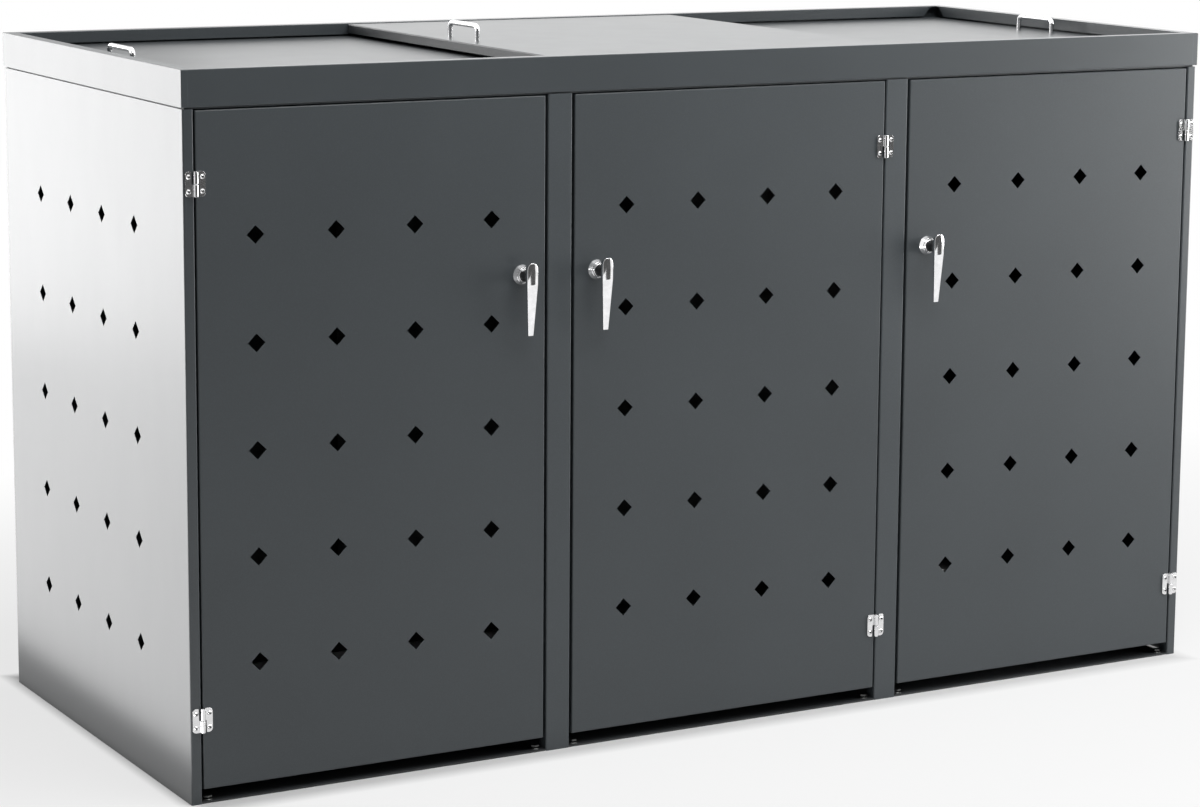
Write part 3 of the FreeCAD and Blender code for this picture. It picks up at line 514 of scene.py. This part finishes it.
class Recipe(NodeTree):
    """A Geometry Nodes tree that grows a piece on given points."""

    def __init__(self, name):
        self.tree = bpy.data.node_groups.new(name, "GeometryNodeTree")
        for way in ("INPUT", "OUTPUT"):
            self.tree.interface.new_socket("Geometry", in_out=way, socket_type="NodeSocketGeometry")
        self.source = self.tree.nodes.new("NodeGroupInput")
        self.result = self.tree.nodes.new("NodeGroupOutput")
        self.given = {}

    def ask(self, name, value):
        """A named input of the tree, with the value it is run with."""
        kind = "NodeSocketMaterial" if isinstance(value, bpy.types.Material) else "NodeSocketFloat"
        socket = self.tree.interface.new_socket(name, in_out="INPUT", socket_type=kind)
        if kind == "NodeSocketFloat":
            socket.subtype = "DISTANCE"
        self.given[socket.identifier] = value
        return self.source.outputs[name]

    def add(self, kind, links=(), **settings):
        """A node; links feed its inputs by name or number, settings are its own."""
        node = self.tree.nodes.new(kind)
        for name, value in settings.items():
            setattr(node, name, value)
        for where, value in dict(links).items():
            self.feed(node.inputs[where], value)
        return node

    def scaled(self, value, factor):
        """The value times a plain factor."""
        node = self.add("ShaderNodeMath", {0: value, 1: factor}, operation="MULTIPLY")
        return node.outputs["Value"]

    def lifted(self, geometry, height):
        """The geometry moved up."""
        up = self.add("ShaderNodeCombineXYZ", {"Z": height}).outputs["Vector"]
        node = self.add("GeometryNodeTransform", {"Geometry": geometry, "Translation": up})
        return node.outputs["Geometry"]

    def coated(self, geometry, material):
        """The geometry with a material on all its faces."""
        node = self.add("GeometryNodeSetMaterial", {"Geometry": geometry, "Material": material})
        return node.outputs["Geometry"]

    def prism(self, sides, radius, depth):
        """The outputs of an upright prism round the origin, closed at both ends."""
        sizes = {"Vertices": sides, "Radius": radius, "Depth": depth}
        return self.add("GeometryNodeMeshCylinder", sizes, fill_type="NGON").outputs

    def hexagon(self, across, depth):
        """The mesh of an upright hexagonal prism, by its size across the flats."""
        return self.prism(6, self.scaled(across, 1 / math.sqrt(3)), depth)["Mesh"]

    def stepped(self, geometry, top, rise, shrink):
        """The geometry with its top face drawn up and shrunk, and that new top."""
        drawn = self.add(
            "GeometryNodeExtrudeMesh",
            {"Mesh": geometry, "Selection": top, "Offset Scale": rise},
        ).outputs
        shrunk = self.add(
            "GeometryNodeScaleElements",
            {"Geometry": drawn["Mesh"], "Selection": drawn["Top"], "Scale": shrink},
        )
        return shrunk.outputs["Geometry"], drawn["Top"]

    def scatter(self, geometry, seed, spin_axis, **tilt):
        """A copy of the geometry on each point, tilted alike and turned at random about an axis."""
        limits = {"Min": 0.0, "Max": 2 * math.pi, "Seed": seed}
        draw = self.add("FunctionNodeRandomValue", limits, data_type="FLOAT")
        spin = next(s for s in draw.outputs if s.enabled and s.type == "VALUE")
        turn = self.add("ShaderNodeCombineXYZ", {**tilt, spin_axis: spin}).outputs["Vector"]
        rotation = self.add("FunctionNodeEulerToRotation", {"Euler": turn}).outputs["Rotation"]
        copies = self.add(
            "GeometryNodeInstanceOnPoints",
            {"Points": self.source.outputs["Geometry"], "Instance": geometry, "Rotation": rotation},
        )
        return copies.outputs["Instances"]

    def finish(self, geometry, material=None):
        """Realizes the instances, keeps only sharp folds crisp and sets the material, if one is given."""
        real = self.add("GeometryNodeRealizeInstances", {"Geometry": geometry}).outputs["Geometry"]
        smooth = self.add("GeometryNodeSetShadeSmooth", {"Geometry": real}).outputs["Geometry"]
        fold = self.add("GeometryNodeInputMeshEdgeAngle").outputs["Unsigned Angle"]
        sharp = self.add("FunctionNodeCompare", {0: fold, 1: SHARP_ANGLE}, operation="GREATER_THAN")
        done = self.add(
            "GeometryNodeSetShadeSmooth",
            {"Geometry": smooth, "Selection": sharp.outputs["Result"], "Shade Smooth": False},
            domain="EDGE",
        ).outputs["Geometry"]
        if material is not None:
            done = self.coated(done, material)
        self.tree.links.new(done, self.result.inputs["Geometry"])

    def run(self, name, points, edges, body, nodes):
        """Runs the tree on a mesh of points and keeps the outcome as a plain piece."""
        mesh = bpy.data.meshes.new(f"{name}_points")
        mesh.from_pydata(points, edges, [])
        seed = bpy.data.objects.new(f"{name}_points", mesh)
        bpy.context.scene.collection.objects.link(seed)
        grown = seed.modifiers.new("recipe", "NODES")
        grown.node_group = self.tree
        for identifier, value in self.given.items():
            grown[identifier] = value
        depsgraph = bpy.context.evaluated_depsgraph_get()
        plain = bpy.data.meshes.new_from_object(seed.evaluated_get(depsgraph), depsgraph=depsgraph)
        plain.name = name
        seed.modifiers.remove(grown)
        bpy.data.objects.remove(seed)
        bpy.data.meshes.remove(mesh)
        if not plain.polygons:
            raise RuntimeError(f"the recipe for {name} made nothing")
        set_up(name, plain, body, nodes)


def button_screw_recipe(hinge, material, socket_shade):
    """Button-head screws with a hexagon socket, standing out of the doors' side."""
    recipe = Recipe("button_screws")
    radius = recipe.ask("Head Radius", hinge.screw_radius)
    height = recipe.ask("Head Height", hinge.screw_height)
    across = recipe.ask("Socket Across", hinge.socket_across)
    depth = recipe.ask("Socket Depth", hinge.socket_depth)
    coat = recipe.ask("Material", material)
    shade_coat = recipe.ask("Socket Material", socket_shade)
    base = recipe.scaled(height, DOME_BASE)
    drum = recipe.prism(36, radius, base)
    head, top = recipe.lifted(drum["Mesh"], recipe.scaled(base, 0.5)), drum["Top"]
    for rise, shrink in DOME_STEPS:
        head, top = recipe.stepped(head, top, recipe.scaled(height, rise), shrink)
    socket = recipe.lifted(recipe.hexagon(across, recipe.scaled(depth, 2.0)), height)
    # The socket's walls take a near-black material: painted shade in the hollow of each head.
    cut = recipe.add(
        "GeometryNodeMeshBoolean",
        {"Mesh 1": recipe.coated(head, coat), "Mesh 2": recipe.coated(socket, shade_coat)},
        operation="DIFFERENCE", solver="EXACT",
    )
    recipe.finish(recipe.scatter(cut.outputs["Mesh"], seed=7, spin_axis="Y", X=math.pi / 2))
    return recipe


def base_bolt_recipe(sizes, material):
    """Hexagon bolt heads on washers, standing on the base plates."""
    recipe = Recipe("base_bolts")
    across = recipe.ask("Head Across", sizes.bolt_across)
    height = recipe.ask("Head Height", sizes.bolt_height)
    washer_radius = recipe.ask("Washer Radius", sizes.washer_radius)
    washer_height = recipe.ask("Washer Height", sizes.washer_height)
    coat = recipe.ask("Material", material)
    straight, chamfer, shrink = 0.7, 0.3, 0.95
    washer = recipe.prism(48, washer_radius, recipe.scaled(washer_height, straight))
    rise = recipe.scaled(washer_height, chamfer)
    rounded, _ = recipe.stepped(washer["Mesh"], washer["Top"], rise, shrink)
    plate = recipe.lifted(rounded, recipe.scaled(washer_height, straight / 2))
    narrow, wide = 0.47, 1.30
    cone = recipe.add(
        "GeometryNodeMeshCone",
        {
            "Vertices": 48, "Depth": height,
            "Radius Top": recipe.scaled(across, narrow),
            "Radius Bottom": recipe.scaled(across, wide),
        },
        fill_type="NGON",
    )
    settle = recipe.scaled(height, 0.5)
    head = recipe.add("GeometryNodeMeshBoolean", operation="INTERSECT", solver="EXACT")
    for solid in (recipe.hexagon(across, height), cone.outputs["Mesh"]):
        recipe.tree.links.new(recipe.lifted(solid, settle), head.inputs["Mesh 2"])
    both = recipe.add("GeometryNodeJoinGeometry")
    for part in (plate, recipe.lifted(head.outputs["Mesh"], washer_height)):
        recipe.tree.links.new(part, both.inputs["Geometry"])
    recipe.finish(recipe.scatter(both.outputs["Geometry"], seed=3, spin_axis="Z"), coat)
    return recipe


def bent_bar_recipe(sizes, material):
    """A round bar along a bent line, with rounded corners and flat ends."""
    recipe = Recipe("bent_bar")
    radius = recipe.ask("Bar Radius", sizes.bar_radius)
    bend = recipe.ask("Bend Radius", sizes.bend_radius)
    coat = recipe.ask("Material", material)
    line = recipe.add("GeometryNodeMeshToCurve", {"Mesh": recipe.source.outputs["Geometry"]})
    curved = recipe.add(
        "GeometryNodeFilletCurve",
        {"Curve": line.outputs["Curve"], "Radius": bend, "Count": 14}, mode="POLY",
    )
    circle = recipe.add("GeometryNodeCurvePrimitiveCircle", {"Resolution": 40, "Radius": radius})
    bar = recipe.add(
        "GeometryNodeCurveToMesh",
        {"Curve": curved.outputs["Curve"], "Profile Curve": circle.outputs["Curve"], "Fill Caps": True},
    )
    recipe.finish(bar.outputs["Mesh"], coat)
    return recipe


# Pieces

class BINSTORE_OT_coat_panels(bpy.types.Operator):
    """Powder-coats all of the sheet steel"""

    bl_idname = "binstore.coat_panels"
    bl_label = "Coat Panels"

    def execute(self, context):
        paint = context.scene.bin_store_paint
        panel, rough = paint.panel_colour, paint.panel_roughness
        coats = {
            "anthracite_door": (panel, rough, 0.0),
            # The posts take the panels' paint a tenth lighter: painted light, since the same paint only reads
            # lighter on them.
            "anthracite_post": (shade(panel, 1.1), rough, 0.0),
            "anthracite_fascia": (panel, rough - 0.04, 0.2),
            "anthracite_side": (panel, paint.side_roughness, paint.side_gloss),
            "anthracite_back": (panel, rough, 0.0),
            "anthracite_rail": (panel, rough + 0.05, 0.0),
            "anthracite_lid": (paint.lid_colour, paint.lid_roughness, 0.0),
            # The base plates' darker colour is painted shade, not a different paint.
            "anthracite_base": (paint.base_colour, rough + 0.08, 0.0),
        }
        for slot, (tint, roughness, gloss) in coats.items():
            wear(slot, powder_coat(slot, tint, roughness, gloss, paint))
        return {"FINISHED"}


class BINSTORE_OT_finish_small_parts(bpy.types.Operator):
    """Finishes the latch tongues, hinge pins and lid glides"""

    bl_idname = "binstore.finish_small_parts"
    bl_label = "Finish Small Parts"

    def execute(self, context):
        metal = context.scene.bin_store_metal
        wear("cam_zinc", zinc_plate("latch_zinc", metal.zinc_colour))
        pins = bright_metal("pin_steel", metal.steel_colour, roughness=0.22, lines=(1.0, 1.0, 0.2))
        wear("pin_steel", pins)
        wear("glide_nylon", black_plastic("glide_nylon", metal.black_colour, roughness=0.5))
        return {"FINISHED"}


def add_leaf(bm, axis_x, side, middle, up, hinge, face_y, pin_y):
    """One leaf and its half of the barrel: the upper, closed over the pin, if up is 1, else the lower."""
    start = middle + up * hinge.barrel_gap / 2
    end = middle + up * hinge.leaf_height / 2
    other_end = middle - up * hinge.leaf_height / 2
    rim = axis_x + side * hinge.leaf_width
    clear = axis_x + side * (hinge.barrel_radius + hinge.leaf_gap)
    soft = hinge.small_round
    outline = rounded_path([
        (axis_x, start, 0.0),
        (axis_x, end, 0.0),
        (rim, end, hinge.leaf_corner),
        (rim, other_end, hinge.leaf_corner),
        (clear, other_end, soft),
        (clear, start, 0.0),
    ])
    slab(bm, outline, face_y - hinge.leaf_thickness, face_y, hinge.edge_round)
    low, high = sorted((start, end))
    pin_clearance = 0.00005
    inner, outer = hinge.pin_radius + pin_clearance, hinge.barrel_radius
    place = Matrix.Translation((axis_x, pin_y, 0.0))
    barrel = [(inner, low, 0.0), (outer, low, soft), (outer, high, soft), (inner, high, 0.0)]
    turned(bm, rounded_path(barrel, 4), place, ring=True)
    if up > 0:
        overlap, recess, depth = 0.0002, 0.00015, 0.002
        cap = [(inner + overlap, high - depth), (inner + overlap, high - recess)]
        turned(bm, cap, place, ring=False)


class BINSTORE_OT_fit_hinges(bpy.types.Operator):
    """Makes the hinge leaves and their barrels"""

    bl_idname = "binstore.fit_hinges"
    bl_label = "Fit Hinges"

    def execute(self, context):
        hinge = context.scene.bin_store_hinge
        metal = context.scene.bin_store_metal
        steel = bright_metal("hinge_steel", metal.steel_colour, roughness=0.15, lines=(1.0, 1.0, 0.25))
        frame_mesh = bmesh.new()
        for bay in BAYS:
            door_mesh = bmesh.new()
            low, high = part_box(f"hinge_leaves_{bay}")
            axis_x, pin_y, _ = pivot_of(f"door_{bay}")
            door_side = 1 if (low.x + high.x) / 2 > axis_x else -1
            face_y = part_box(f"door_{bay}")[0].y
            for middle in (low.z + hinge.leaf_height / 2, high.z - hinge.leaf_height / 2):
                add_leaf(door_mesh, axis_x, door_side, middle, 1, hinge, face_y, pin_y)
                add_leaf(frame_mesh, axis_x, -door_side, middle, -1, hinge, face_y, pin_y)
            finish_piece(f"leaves_{bay}", door_mesh, steel, f"door_{bay}", [f"hinge_leaves_{bay}"])
        finish_piece("leaves_frame", frame_mesh, steel, "store", ["hinge_frame_leaves"])
        return {"FINISHED"}


class BINSTORE_OT_drive_screws(bpy.types.Operator):
    """Drives the button-head screws of the hinges"""

    bl_idname = "binstore.drive_screws"
    bl_label = "Drive Screws"

    def execute(self, context):
        hinge = context.scene.bin_store_hinge
        metal = context.scene.bin_store_metal
        steel = bright_metal("screw_steel", metal.steel_colour, roughness=0.12)
        # A near-black lining for the hex sockets: painted shade in their hollows.
        socket_shade = black_plastic("socket_painted_shade", metal.black_colour, roughness=0.5)
        recipe = button_screw_recipe(hinge, steel, socket_shade)
        bodies = {f"hinge_screws_{bay}": f"door_{bay}" for bay in BAYS}
        bodies["hinge_frame_screws"] = "store"
        for node, body in bodies.items():
            boxes = solid_boxes(node, 3 * hinge.screw_radius)
            points = [((low.x + high.x) / 2, high.y, (low.z + high.z) / 2) for low, high in boxes]
            recipe.run(node.replace("hinge_", "button_"), points, [], body, [node])
        return {"FINISHED"}


def rosette_profile(handle, deep):
    """Half section of the rosette: a cone with a lip at the door and a groove round its slope."""
    wide, top, bore = handle.rosette_radius, handle.rosette_top, handle.rosette_bore
    groove = handle.rosette_groove
    at_groove = wide - (wide - top) / deep * groove
    lip, cut, width, soft = 0.0013, 0.0008, 0.0005, 0.0003
    return rounded_path([
        (bore, 0.0, 0.0),
        (wide, 0.0, 0.0),
        (wide - soft, lip, 0.0005),
        (at_groove, groove, soft),
        (at_groove - cut, groove + soft, 0.0),
        (at_groove - cut, groove + soft + width, 0.0),
        (at_groove - cut + soft, groove + 2 * soft + width, soft),
        (top, deep, 0.0008),
        (bore, deep, 0.0),
    ], 4)


def neck_profile(handle, whole, shoulder):
    """Half section of the neck: a spindle through the door, and a collar with a groove near its end."""
    neck, spindle, hollow = handle.neck_radius, 0.005, 0.0005
    groove = whole - 0.0035
    cut, ramp, width, soft = 0.0006, 0.0004, 0.0006, 0.0003
    return rounded_path([
        (hollow, 0.0, 0.0),
        (spindle, 0.0, 0.0004),
        (spindle, shoulder, 0.0),
        (neck, shoulder, 0.0006),
        (neck, groove, soft),
        (neck - cut, groove + ramp, 0.0),
        (neck - cut, groove + ramp + width, 0.0),
        (neck, groove + 2 * ramp + width, soft),
        (neck, whole, 0.0005),
        (hollow, whole, 0.0),
    ], 4)


class BINSTORE_OT_fit_rosettes(bpy.types.Operator):
    """Turns the rosettes and the black necks of the handles"""

    bl_idname = "binstore.fit_rosettes"
    bl_label = "Fit Rosettes"

    def execute(self, context):
        handle = context.scene.bin_store_handle
        metal = context.scene.bin_store_metal
        chrome = bright_metal("rosette_chrome", metal.chrome_colour, roughness=0.05)
        black = black_plastic("neck_black", metal.black_colour, roughness=0.32)
        outward = Matrix.Rotation(math.pi / 2, 4, "X")
        gap = 0.0004
        for bay in BAYS:
            x, _, z = pivot_of(f"handle_{bay}")
            front, back = (corner.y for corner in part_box(f"rosette_{bay}"))
            bm = bmesh.new()
            place = Matrix.Translation((x, back, z)) @ outward
            turned(bm, rosette_profile(handle, back - front), place, ring=True)
            finish_piece(f"escutcheon_{bay}", bm, chrome, f"door_{bay}", [f"rosette_{bay}"])
            near, far = (corner.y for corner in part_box(f"neck_{bay}"))
            whole = far - near
            shoulder = whole - (front - gap - near)
            bm = bmesh.new()
            place = Matrix.Translation((x, far, z)) @ outward
            turned(bm, neck_profile(handle, whole, shoulder), place, ring=False)
            finish_piece(f"collar_{bay}", bm, black, f"handle_{bay}", [f"neck_{bay}"])
        return {"FINISHED"}


def lever_outline(half, tip, top, arch, crease, bottom):
    """The lever from the front: (x, z) points from the tip's left corner round to its right."""
    outline = [(-tip, bottom), (-half, crease)]
    across_power, up_power = 0.86, 0.92
    for step in range(ARCH_STEPS + 1):
        turn = math.pi * (1 - step / ARCH_STEPS)
        lean = math.copysign(abs(math.cos(turn)) ** across_power, math.cos(turn))
        outline.append((half * lean, top - arch + arch * math.sin(turn) ** up_power))
    return outline + [(half, crease), (tip, bottom)]


def add_lever(bm, handle, low, high, x, z, back_y):
    """A lever: an arched head with a raised middle ridge, and a flat tapered blade that leans in."""
    half, tip = handle.head_width / 2, handle.tip_width / 2
    crease, bottom = -handle.head_below, low.z - z
    outline = lever_outline(half, tip, high.z - z, handle.head_arch, crease, bottom)
    ridge_y = low.y

    def down(pz):
        """0 at the head, growing from its crease to 1 at the tip."""
        return max(0.0, crease - pz) / (crease - bottom)

    def front_y(px, pz):
        across = abs(px) / half if pz >= crease else 1.0
        return ridge_y + handle.ridge * across + (handle.tip_lean - handle.ridge) * down(pz)

    front = [bm.verts.new((x + px, front_y(px, pz), z + pz)) for px, pz in outline]
    back = [bm.verts.new((x + px, back_y + handle.back_lean * down(pz), z + pz)) for px, pz in outline]
    ridge_foot = bm.verts.new((x, ridge_y, z + crease))
    middle, last = 2 + ARCH_STEPS // 2, len(outline) - 1
    bm.faces.new([ridge_foot, *front[1:middle + 1]])
    bm.faces.new([ridge_foot, *front[middle:last]])
    bm.faces.new([front[1], ridge_foot, front[last - 1]])
    bm.faces.new([front[0], front[1], front[last - 1], front[last]])
    bm.faces.new(back[1:last])
    bm.faces.new([back[0], back[1], back[last - 1], back[last]])
    rims = []
    for number in range(len(outline)):
        after = (number + 1) % len(outline)
        bm.faces.new((front[number], front[after], back[after], back[number]))
        rims.append(bm.edges.get((front[number], front[after])))
        rims.append(bm.edges.get((back[number], back[after])))
    rims.append(bm.edges.get((front[0], back[0])))
    rims.append(bm.edges.get((front[last], back[last])))
    bmesh.ops.recalc_face_normals(bm, faces=bm.faces)
    soften(bm, rims, handle.lever_round, segments=4)


class BINSTORE_OT_fit_levers(bpy.types.Operator):
    """Shapes the chrome levers"""

    bl_idname = "binstore.fit_levers"
    bl_label = "Fit Levers"

    def execute(self, context):
        handle = context.scene.bin_store_handle
        metal = context.scene.bin_store_metal
        chrome = bright_metal("lever_chrome", metal.chrome_colour, roughness=0.06, lines=(1.0, 1.0, 0.12))
        for bay in BAYS:
            x, _, z = pivot_of(f"handle_{bay}")
            low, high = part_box(f"lever_{bay}")
            bm = bmesh.new()
            add_lever(bm, handle, low, high, x, z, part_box(f"neck_{bay}")[0].y)
            finish_piece(f"grip_{bay}", bm, chrome, f"handle_{bay}", [f"lever_{bay}"])
        return {"FINISHED"}


class BINSTORE_OT_bend_pulls(bpy.types.Operator):
    """Bends a round steel bar into each lid's pull"""

    bl_idname = "binstore.bend_pulls"
    bl_label = "Bend Pulls"

    def execute(self, context):
        sizes = context.scene.bin_store_lid
        # The same steel a tenth lighter, so the pulls read whiter: painted reflection.
        tint = shade(context.scene.bin_store_metal.steel_colour, 1.1)
        steel = bright_metal("pull_steel", tint, roughness=0.17, lines=(1.0, 0.15, 1.0))
        recipe = bent_bar_recipe(sizes, steel)
        for bay in BAYS:
            low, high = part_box(f"lid_pull_{bay}")
            x = (low.x + high.x) / 2
            front, back = low.y + sizes.bar_radius, high.y - sizes.bar_radius
            crest = high.z - sizes.bar_radius
            points = [(x, front, low.z), (x, front, crest), (x, back, crest), (x, back, low.z)]
            edges = [(0, 1), (1, 2), (2, 3)]
            recipe.run(f"pull_bar_{bay}", points, edges, f"lid_{bay}", [f"lid_pull_{bay}"])
        return {"FINISHED"}


class BINSTORE_OT_seat_bolts(bpy.types.Operator):
    """Sets the bolts and washers of the thresholds"""

    bl_idname = "binstore.seat_bolts"
    bl_label = "Seat Bolts"

    def execute(self, context):
        sizes = context.scene.bin_store_lid
        # Zinc darkened to a quarter: painted shade on the bolts, which stand in the shadow under the doors.
        tint = shade(context.scene.bin_store_metal.zinc_colour, 0.25)
        recipe = base_bolt_recipe(sizes, bright_metal("bolt_zinc", tint, roughness=0.35))
        boxes = solid_boxes("base_bolts", 2.2 * sizes.washer_radius)
        points = [((low.x + high.x) / 2, (low.y + high.y) / 2, low.z) for low, high in boxes]
        recipe.run("hexagon_bolts", points, [], "store", ["base_bolts"])
        return {"FINISHED"}


# Stage

def soft_lamp(name, position, target, width, height, power, matt=True):
    """A soft box that the camera doesn't see; without matt it only shows in gloss."""
    data = bpy.data.lights.new(name, "AREA")
    data.shape = "RECTANGLE"
    data.size, data.size_y = width, height
    data.energy = power
    lamp = bpy.data.objects.new(name, data)
    bpy.context.scene.collection.objects.link(lamp)
    lamp.location = position
    lamp.rotation_mode = "QUATERNION"
    lamp.rotation_quaternion = (Vector(target) - Vector(position)).to_track_quat("-Z", "Y")
    lamp.visible_camera = False
    lamp.visible_diffuse = matt


def floor_material(stage):
    """Matt pale floor that also shines white to the eye and to gloss, except under the store."""
    floor = Finish("studio_floor")
    nodes = floor.tree.nodes
    nodes.remove(floor.shader)
    matt = floor.add("ShaderNodeBsdfDiffuse", Color=stage.floor_colour)
    white = floor.add("ShaderNodeEmission", Color=(1.0, 1.0, 1.0, 1.0), Strength=1.0)
    split = floor.add("ShaderNodeSeparateXYZ", Vector=floor.place)
    blur = 0.02
    past = []
    for axis, half in (("X", CAD_BOX[1].x), ("Y", -CAD_BOX[0].y)):
        size = floor.compute("ABSOLUTE", split.outputs[axis])
        past.append(floor.spread(size, 0.0, 1.0, half - blur, half + blur))
    outside = floor.largest(*past)
    along_row = 0.72
    ground = floor.stretched((along_row, 1.0, 1.0))
    reach = floor.compute("LENGTH", ground, kind="ShaderNodeVectorMath")
    away = floor.spread(reach, 1.0 - stage.shadow_share, 1.0, stage.shadow_inside, stage.white_outside)
    away = floor.times(away, outside)
    rays = floor.add("ShaderNodeLightPath").outputs
    seen = floor.largest(rays["Is Camera Ray"], rays["Is Glossy Ray"], rays["Is Transmission Ray"])
    mixed = nodes.new("ShaderNodeMixShader")
    parts = (floor.times(seen, away), matt.outputs["BSDF"], white.outputs["Emission"])
    for socket, value in zip(mixed.inputs, parts):
        floor.feed(socket, value)
    output = next(node for node in nodes if node.type == "OUTPUT_MATERIAL")
    floor.feed(output.inputs["Surface"], mixed.outputs["Shader"])
    return floor.material


def room(stage):
    """White to the eye; gloss sees it darker behind the camera, and matt surfaces as even grey light."""
    world = bpy.data.worlds.new("white_room")
    walls = ShaderTree(world)
    background = next(node for node in walls.tree.nodes if node.type == "BACKGROUND")
    rays = walls.add("ShaderNodeLightPath").outputs
    heading = walls.add("ShaderNodeTexCoord").outputs["Generated"]
    split = walls.add("ShaderNodeSeparateXYZ", Vector=heading)
    front = walls.spread(
        split.outputs["Y"], stage.dark_side, 1.0, start=-0.72, end=-0.25, ease="SMOOTHSTEP",
    )
    mirrored = walls.largest(rays["Is Glossy Ray"], rays["Is Transmission Ray"])
    unseen = walls.blend(mirrored, stage.ambient, front, kind="Float")
    light = walls.blend(rays["Is Camera Ray"], unseen, 1.0, kind="Float")
    walls.feed(background.inputs["Color"], light)
    bpy.context.scene.world = world


class BINSTORE_OT_set_stage(bpy.types.Operator):
    """Sets the floor, the room, the lamps and the camera"""

    bl_idname = "binstore.set_stage"
    bl_label = "Set Stage"

    def execute(self, context):
        stage = context.scene.bin_store_stage
        self.lay_floor(context, stage)
        room(stage)
        soft_lamp("key_right", (3.2, -1.7, 1.05), (0.4, -0.4, 0.8), 1.5, 1.7, 68.0)
        soft_lamp("front_top", (0.4, -2.0, 3.1), (0.4, -0.4, 1.1), 3.0, 1.0, 84.0)
        soft_lamp("overhead", (0.0, 0.3, 4.2), (0.0, 0.0, 0.0), 4.0, 3.0, 60.0)
        soft_lamp("back_card", (3.8, 3.6, 2.4), (0.3, 0.0, 1.1), 6.4, 3.0, 50.0, matt=False)
        soft_lamp("side_card", (-2.9, 2.9, 1.5), (-1.0, 0.0, 0.9), 3.4, 3.2, 168.0, matt=False)
        soft_lamp("floor_card", (-2.38, 1.28, 0.02), (-2.38, 1.28, 2.0), 2.6, 3.9, 77.0, matt=False)
        self.set_camera(context, stage)
        context.scene.view_settings.view_transform = "Standard"
        return {"FINISHED"}

    def lay_floor(self, context, stage):
        """Lays the floor under and around the store."""
        near, far = CAD_BOX[0].y - stage.floor_near, stage.floor_far
        mesh = bpy.data.meshes.new("studio_floor")
        corners = [(-far, near, 0.0), (far, near, 0.0), (far, far, 0.0), (-far, far, 0.0)]
        mesh.from_pydata(corners, [], [(0, 1, 2, 3)])
        mesh.materials.append(floor_material(stage))
        floor = bpy.data.objects.new("studio_floor", mesh)
        context.scene.collection.objects.link(floor)

    def set_camera(self, context, stage):
        """Stands the camera at the photograph's place and turns it the same way."""
        data = bpy.data.cameras.new("camera")
        data.sensor_width = 36.0
        data.sensor_fit = "HORIZONTAL"
        data.lens = stage.lens
        data.shift_x, data.shift_y = stage.shift
        data.clip_start, data.clip_end = 0.05, 100.0
        camera = bpy.data.objects.new("camera", data)
        context.scene.collection.objects.link(camera)
        flat = math.cos(stage.elevation)
        forward = Vector((
            math.sin(stage.azimuth) * flat,
            math.cos(stage.azimuth) * flat,
            -math.sin(stage.elevation),
        ))
        camera.location = stage.position
        camera.rotation_mode = "QUATERNION"
        roll = Quaternion((0.0, 0.0, 1.0), stage.roll)
        camera.rotation_quaternion = forward.to_track_quat("-Z", "Y") @ roll
        context.scene.camera = camera


class BINSTORE_PT_sidebar(bpy.types.Panel):
    """Lists the store's sizes, colours and steps"""

    bl_idname = "BINSTORE_PT_sidebar"
    bl_label = "Bin Store"
    bl_space_type = "VIEW_3D"
    bl_region_type = "UI"
    bl_category = "Bin Store"

    def draw(self, context):
        for title, name, _, steps in SECTIONS:
            box = self.layout.box()
            box.label(text=title)
            settings = getattr(context.scene, name)
            for setting in settings.bl_rna.properties.keys():
                if setting not in {"rna_type", "name"}:
                    box.prop(settings, setting)
            for step in steps:
                box.operator(step.bl_idname)


SECTIONS = (
    ("Paint", "bin_store_paint", BinStorePaint, (BINSTORE_OT_coat_panels,)),
    ("Metal and plastic", "bin_store_metal", BinStoreMetal, (BINSTORE_OT_finish_small_parts,)),
    ("Hinges", "bin_store_hinge", BinStoreHinge, (BINSTORE_OT_fit_hinges, BINSTORE_OT_drive_screws)),
    ("Handles", "bin_store_handle", BinStoreHandle, (BINSTORE_OT_fit_rosettes, BINSTORE_OT_fit_levers)),
    ("Lids and base", "bin_store_lid", BinStoreLid, (BINSTORE_OT_bend_pulls, BINSTORE_OT_seat_bolts)),
    ("Stage", "bin_store_stage", BinStoreStage, (BINSTORE_OT_set_stage,)),
)


def register():
    for _, name, group, steps in SECTIONS:
        bpy.utils.register_class(group)
        setattr(bpy.types.Scene, name, bpy.props.PointerProperty(type=group))
        for step in steps:
            bpy.utils.register_class(step)
    bpy.utils.register_class(BINSTORE_PT_sidebar)


def unregister():
    bpy.utils.unregister_class(BINSTORE_PT_sidebar)
    for _, name, group, steps in reversed(SECTIONS):
        for step in reversed(steps):
            bpy.utils.unregister_class(step)
        delattr(bpy.types.Scene, name)
        bpy.utils.unregister_class(group)


def main():
    register()
    for *_, steps in SECTIONS:
        for step in steps:
            group, name = step.bl_idname.split(".")
            getattr(getattr(bpy.ops, group), name)()


if __name__ == "__main__":
    main()
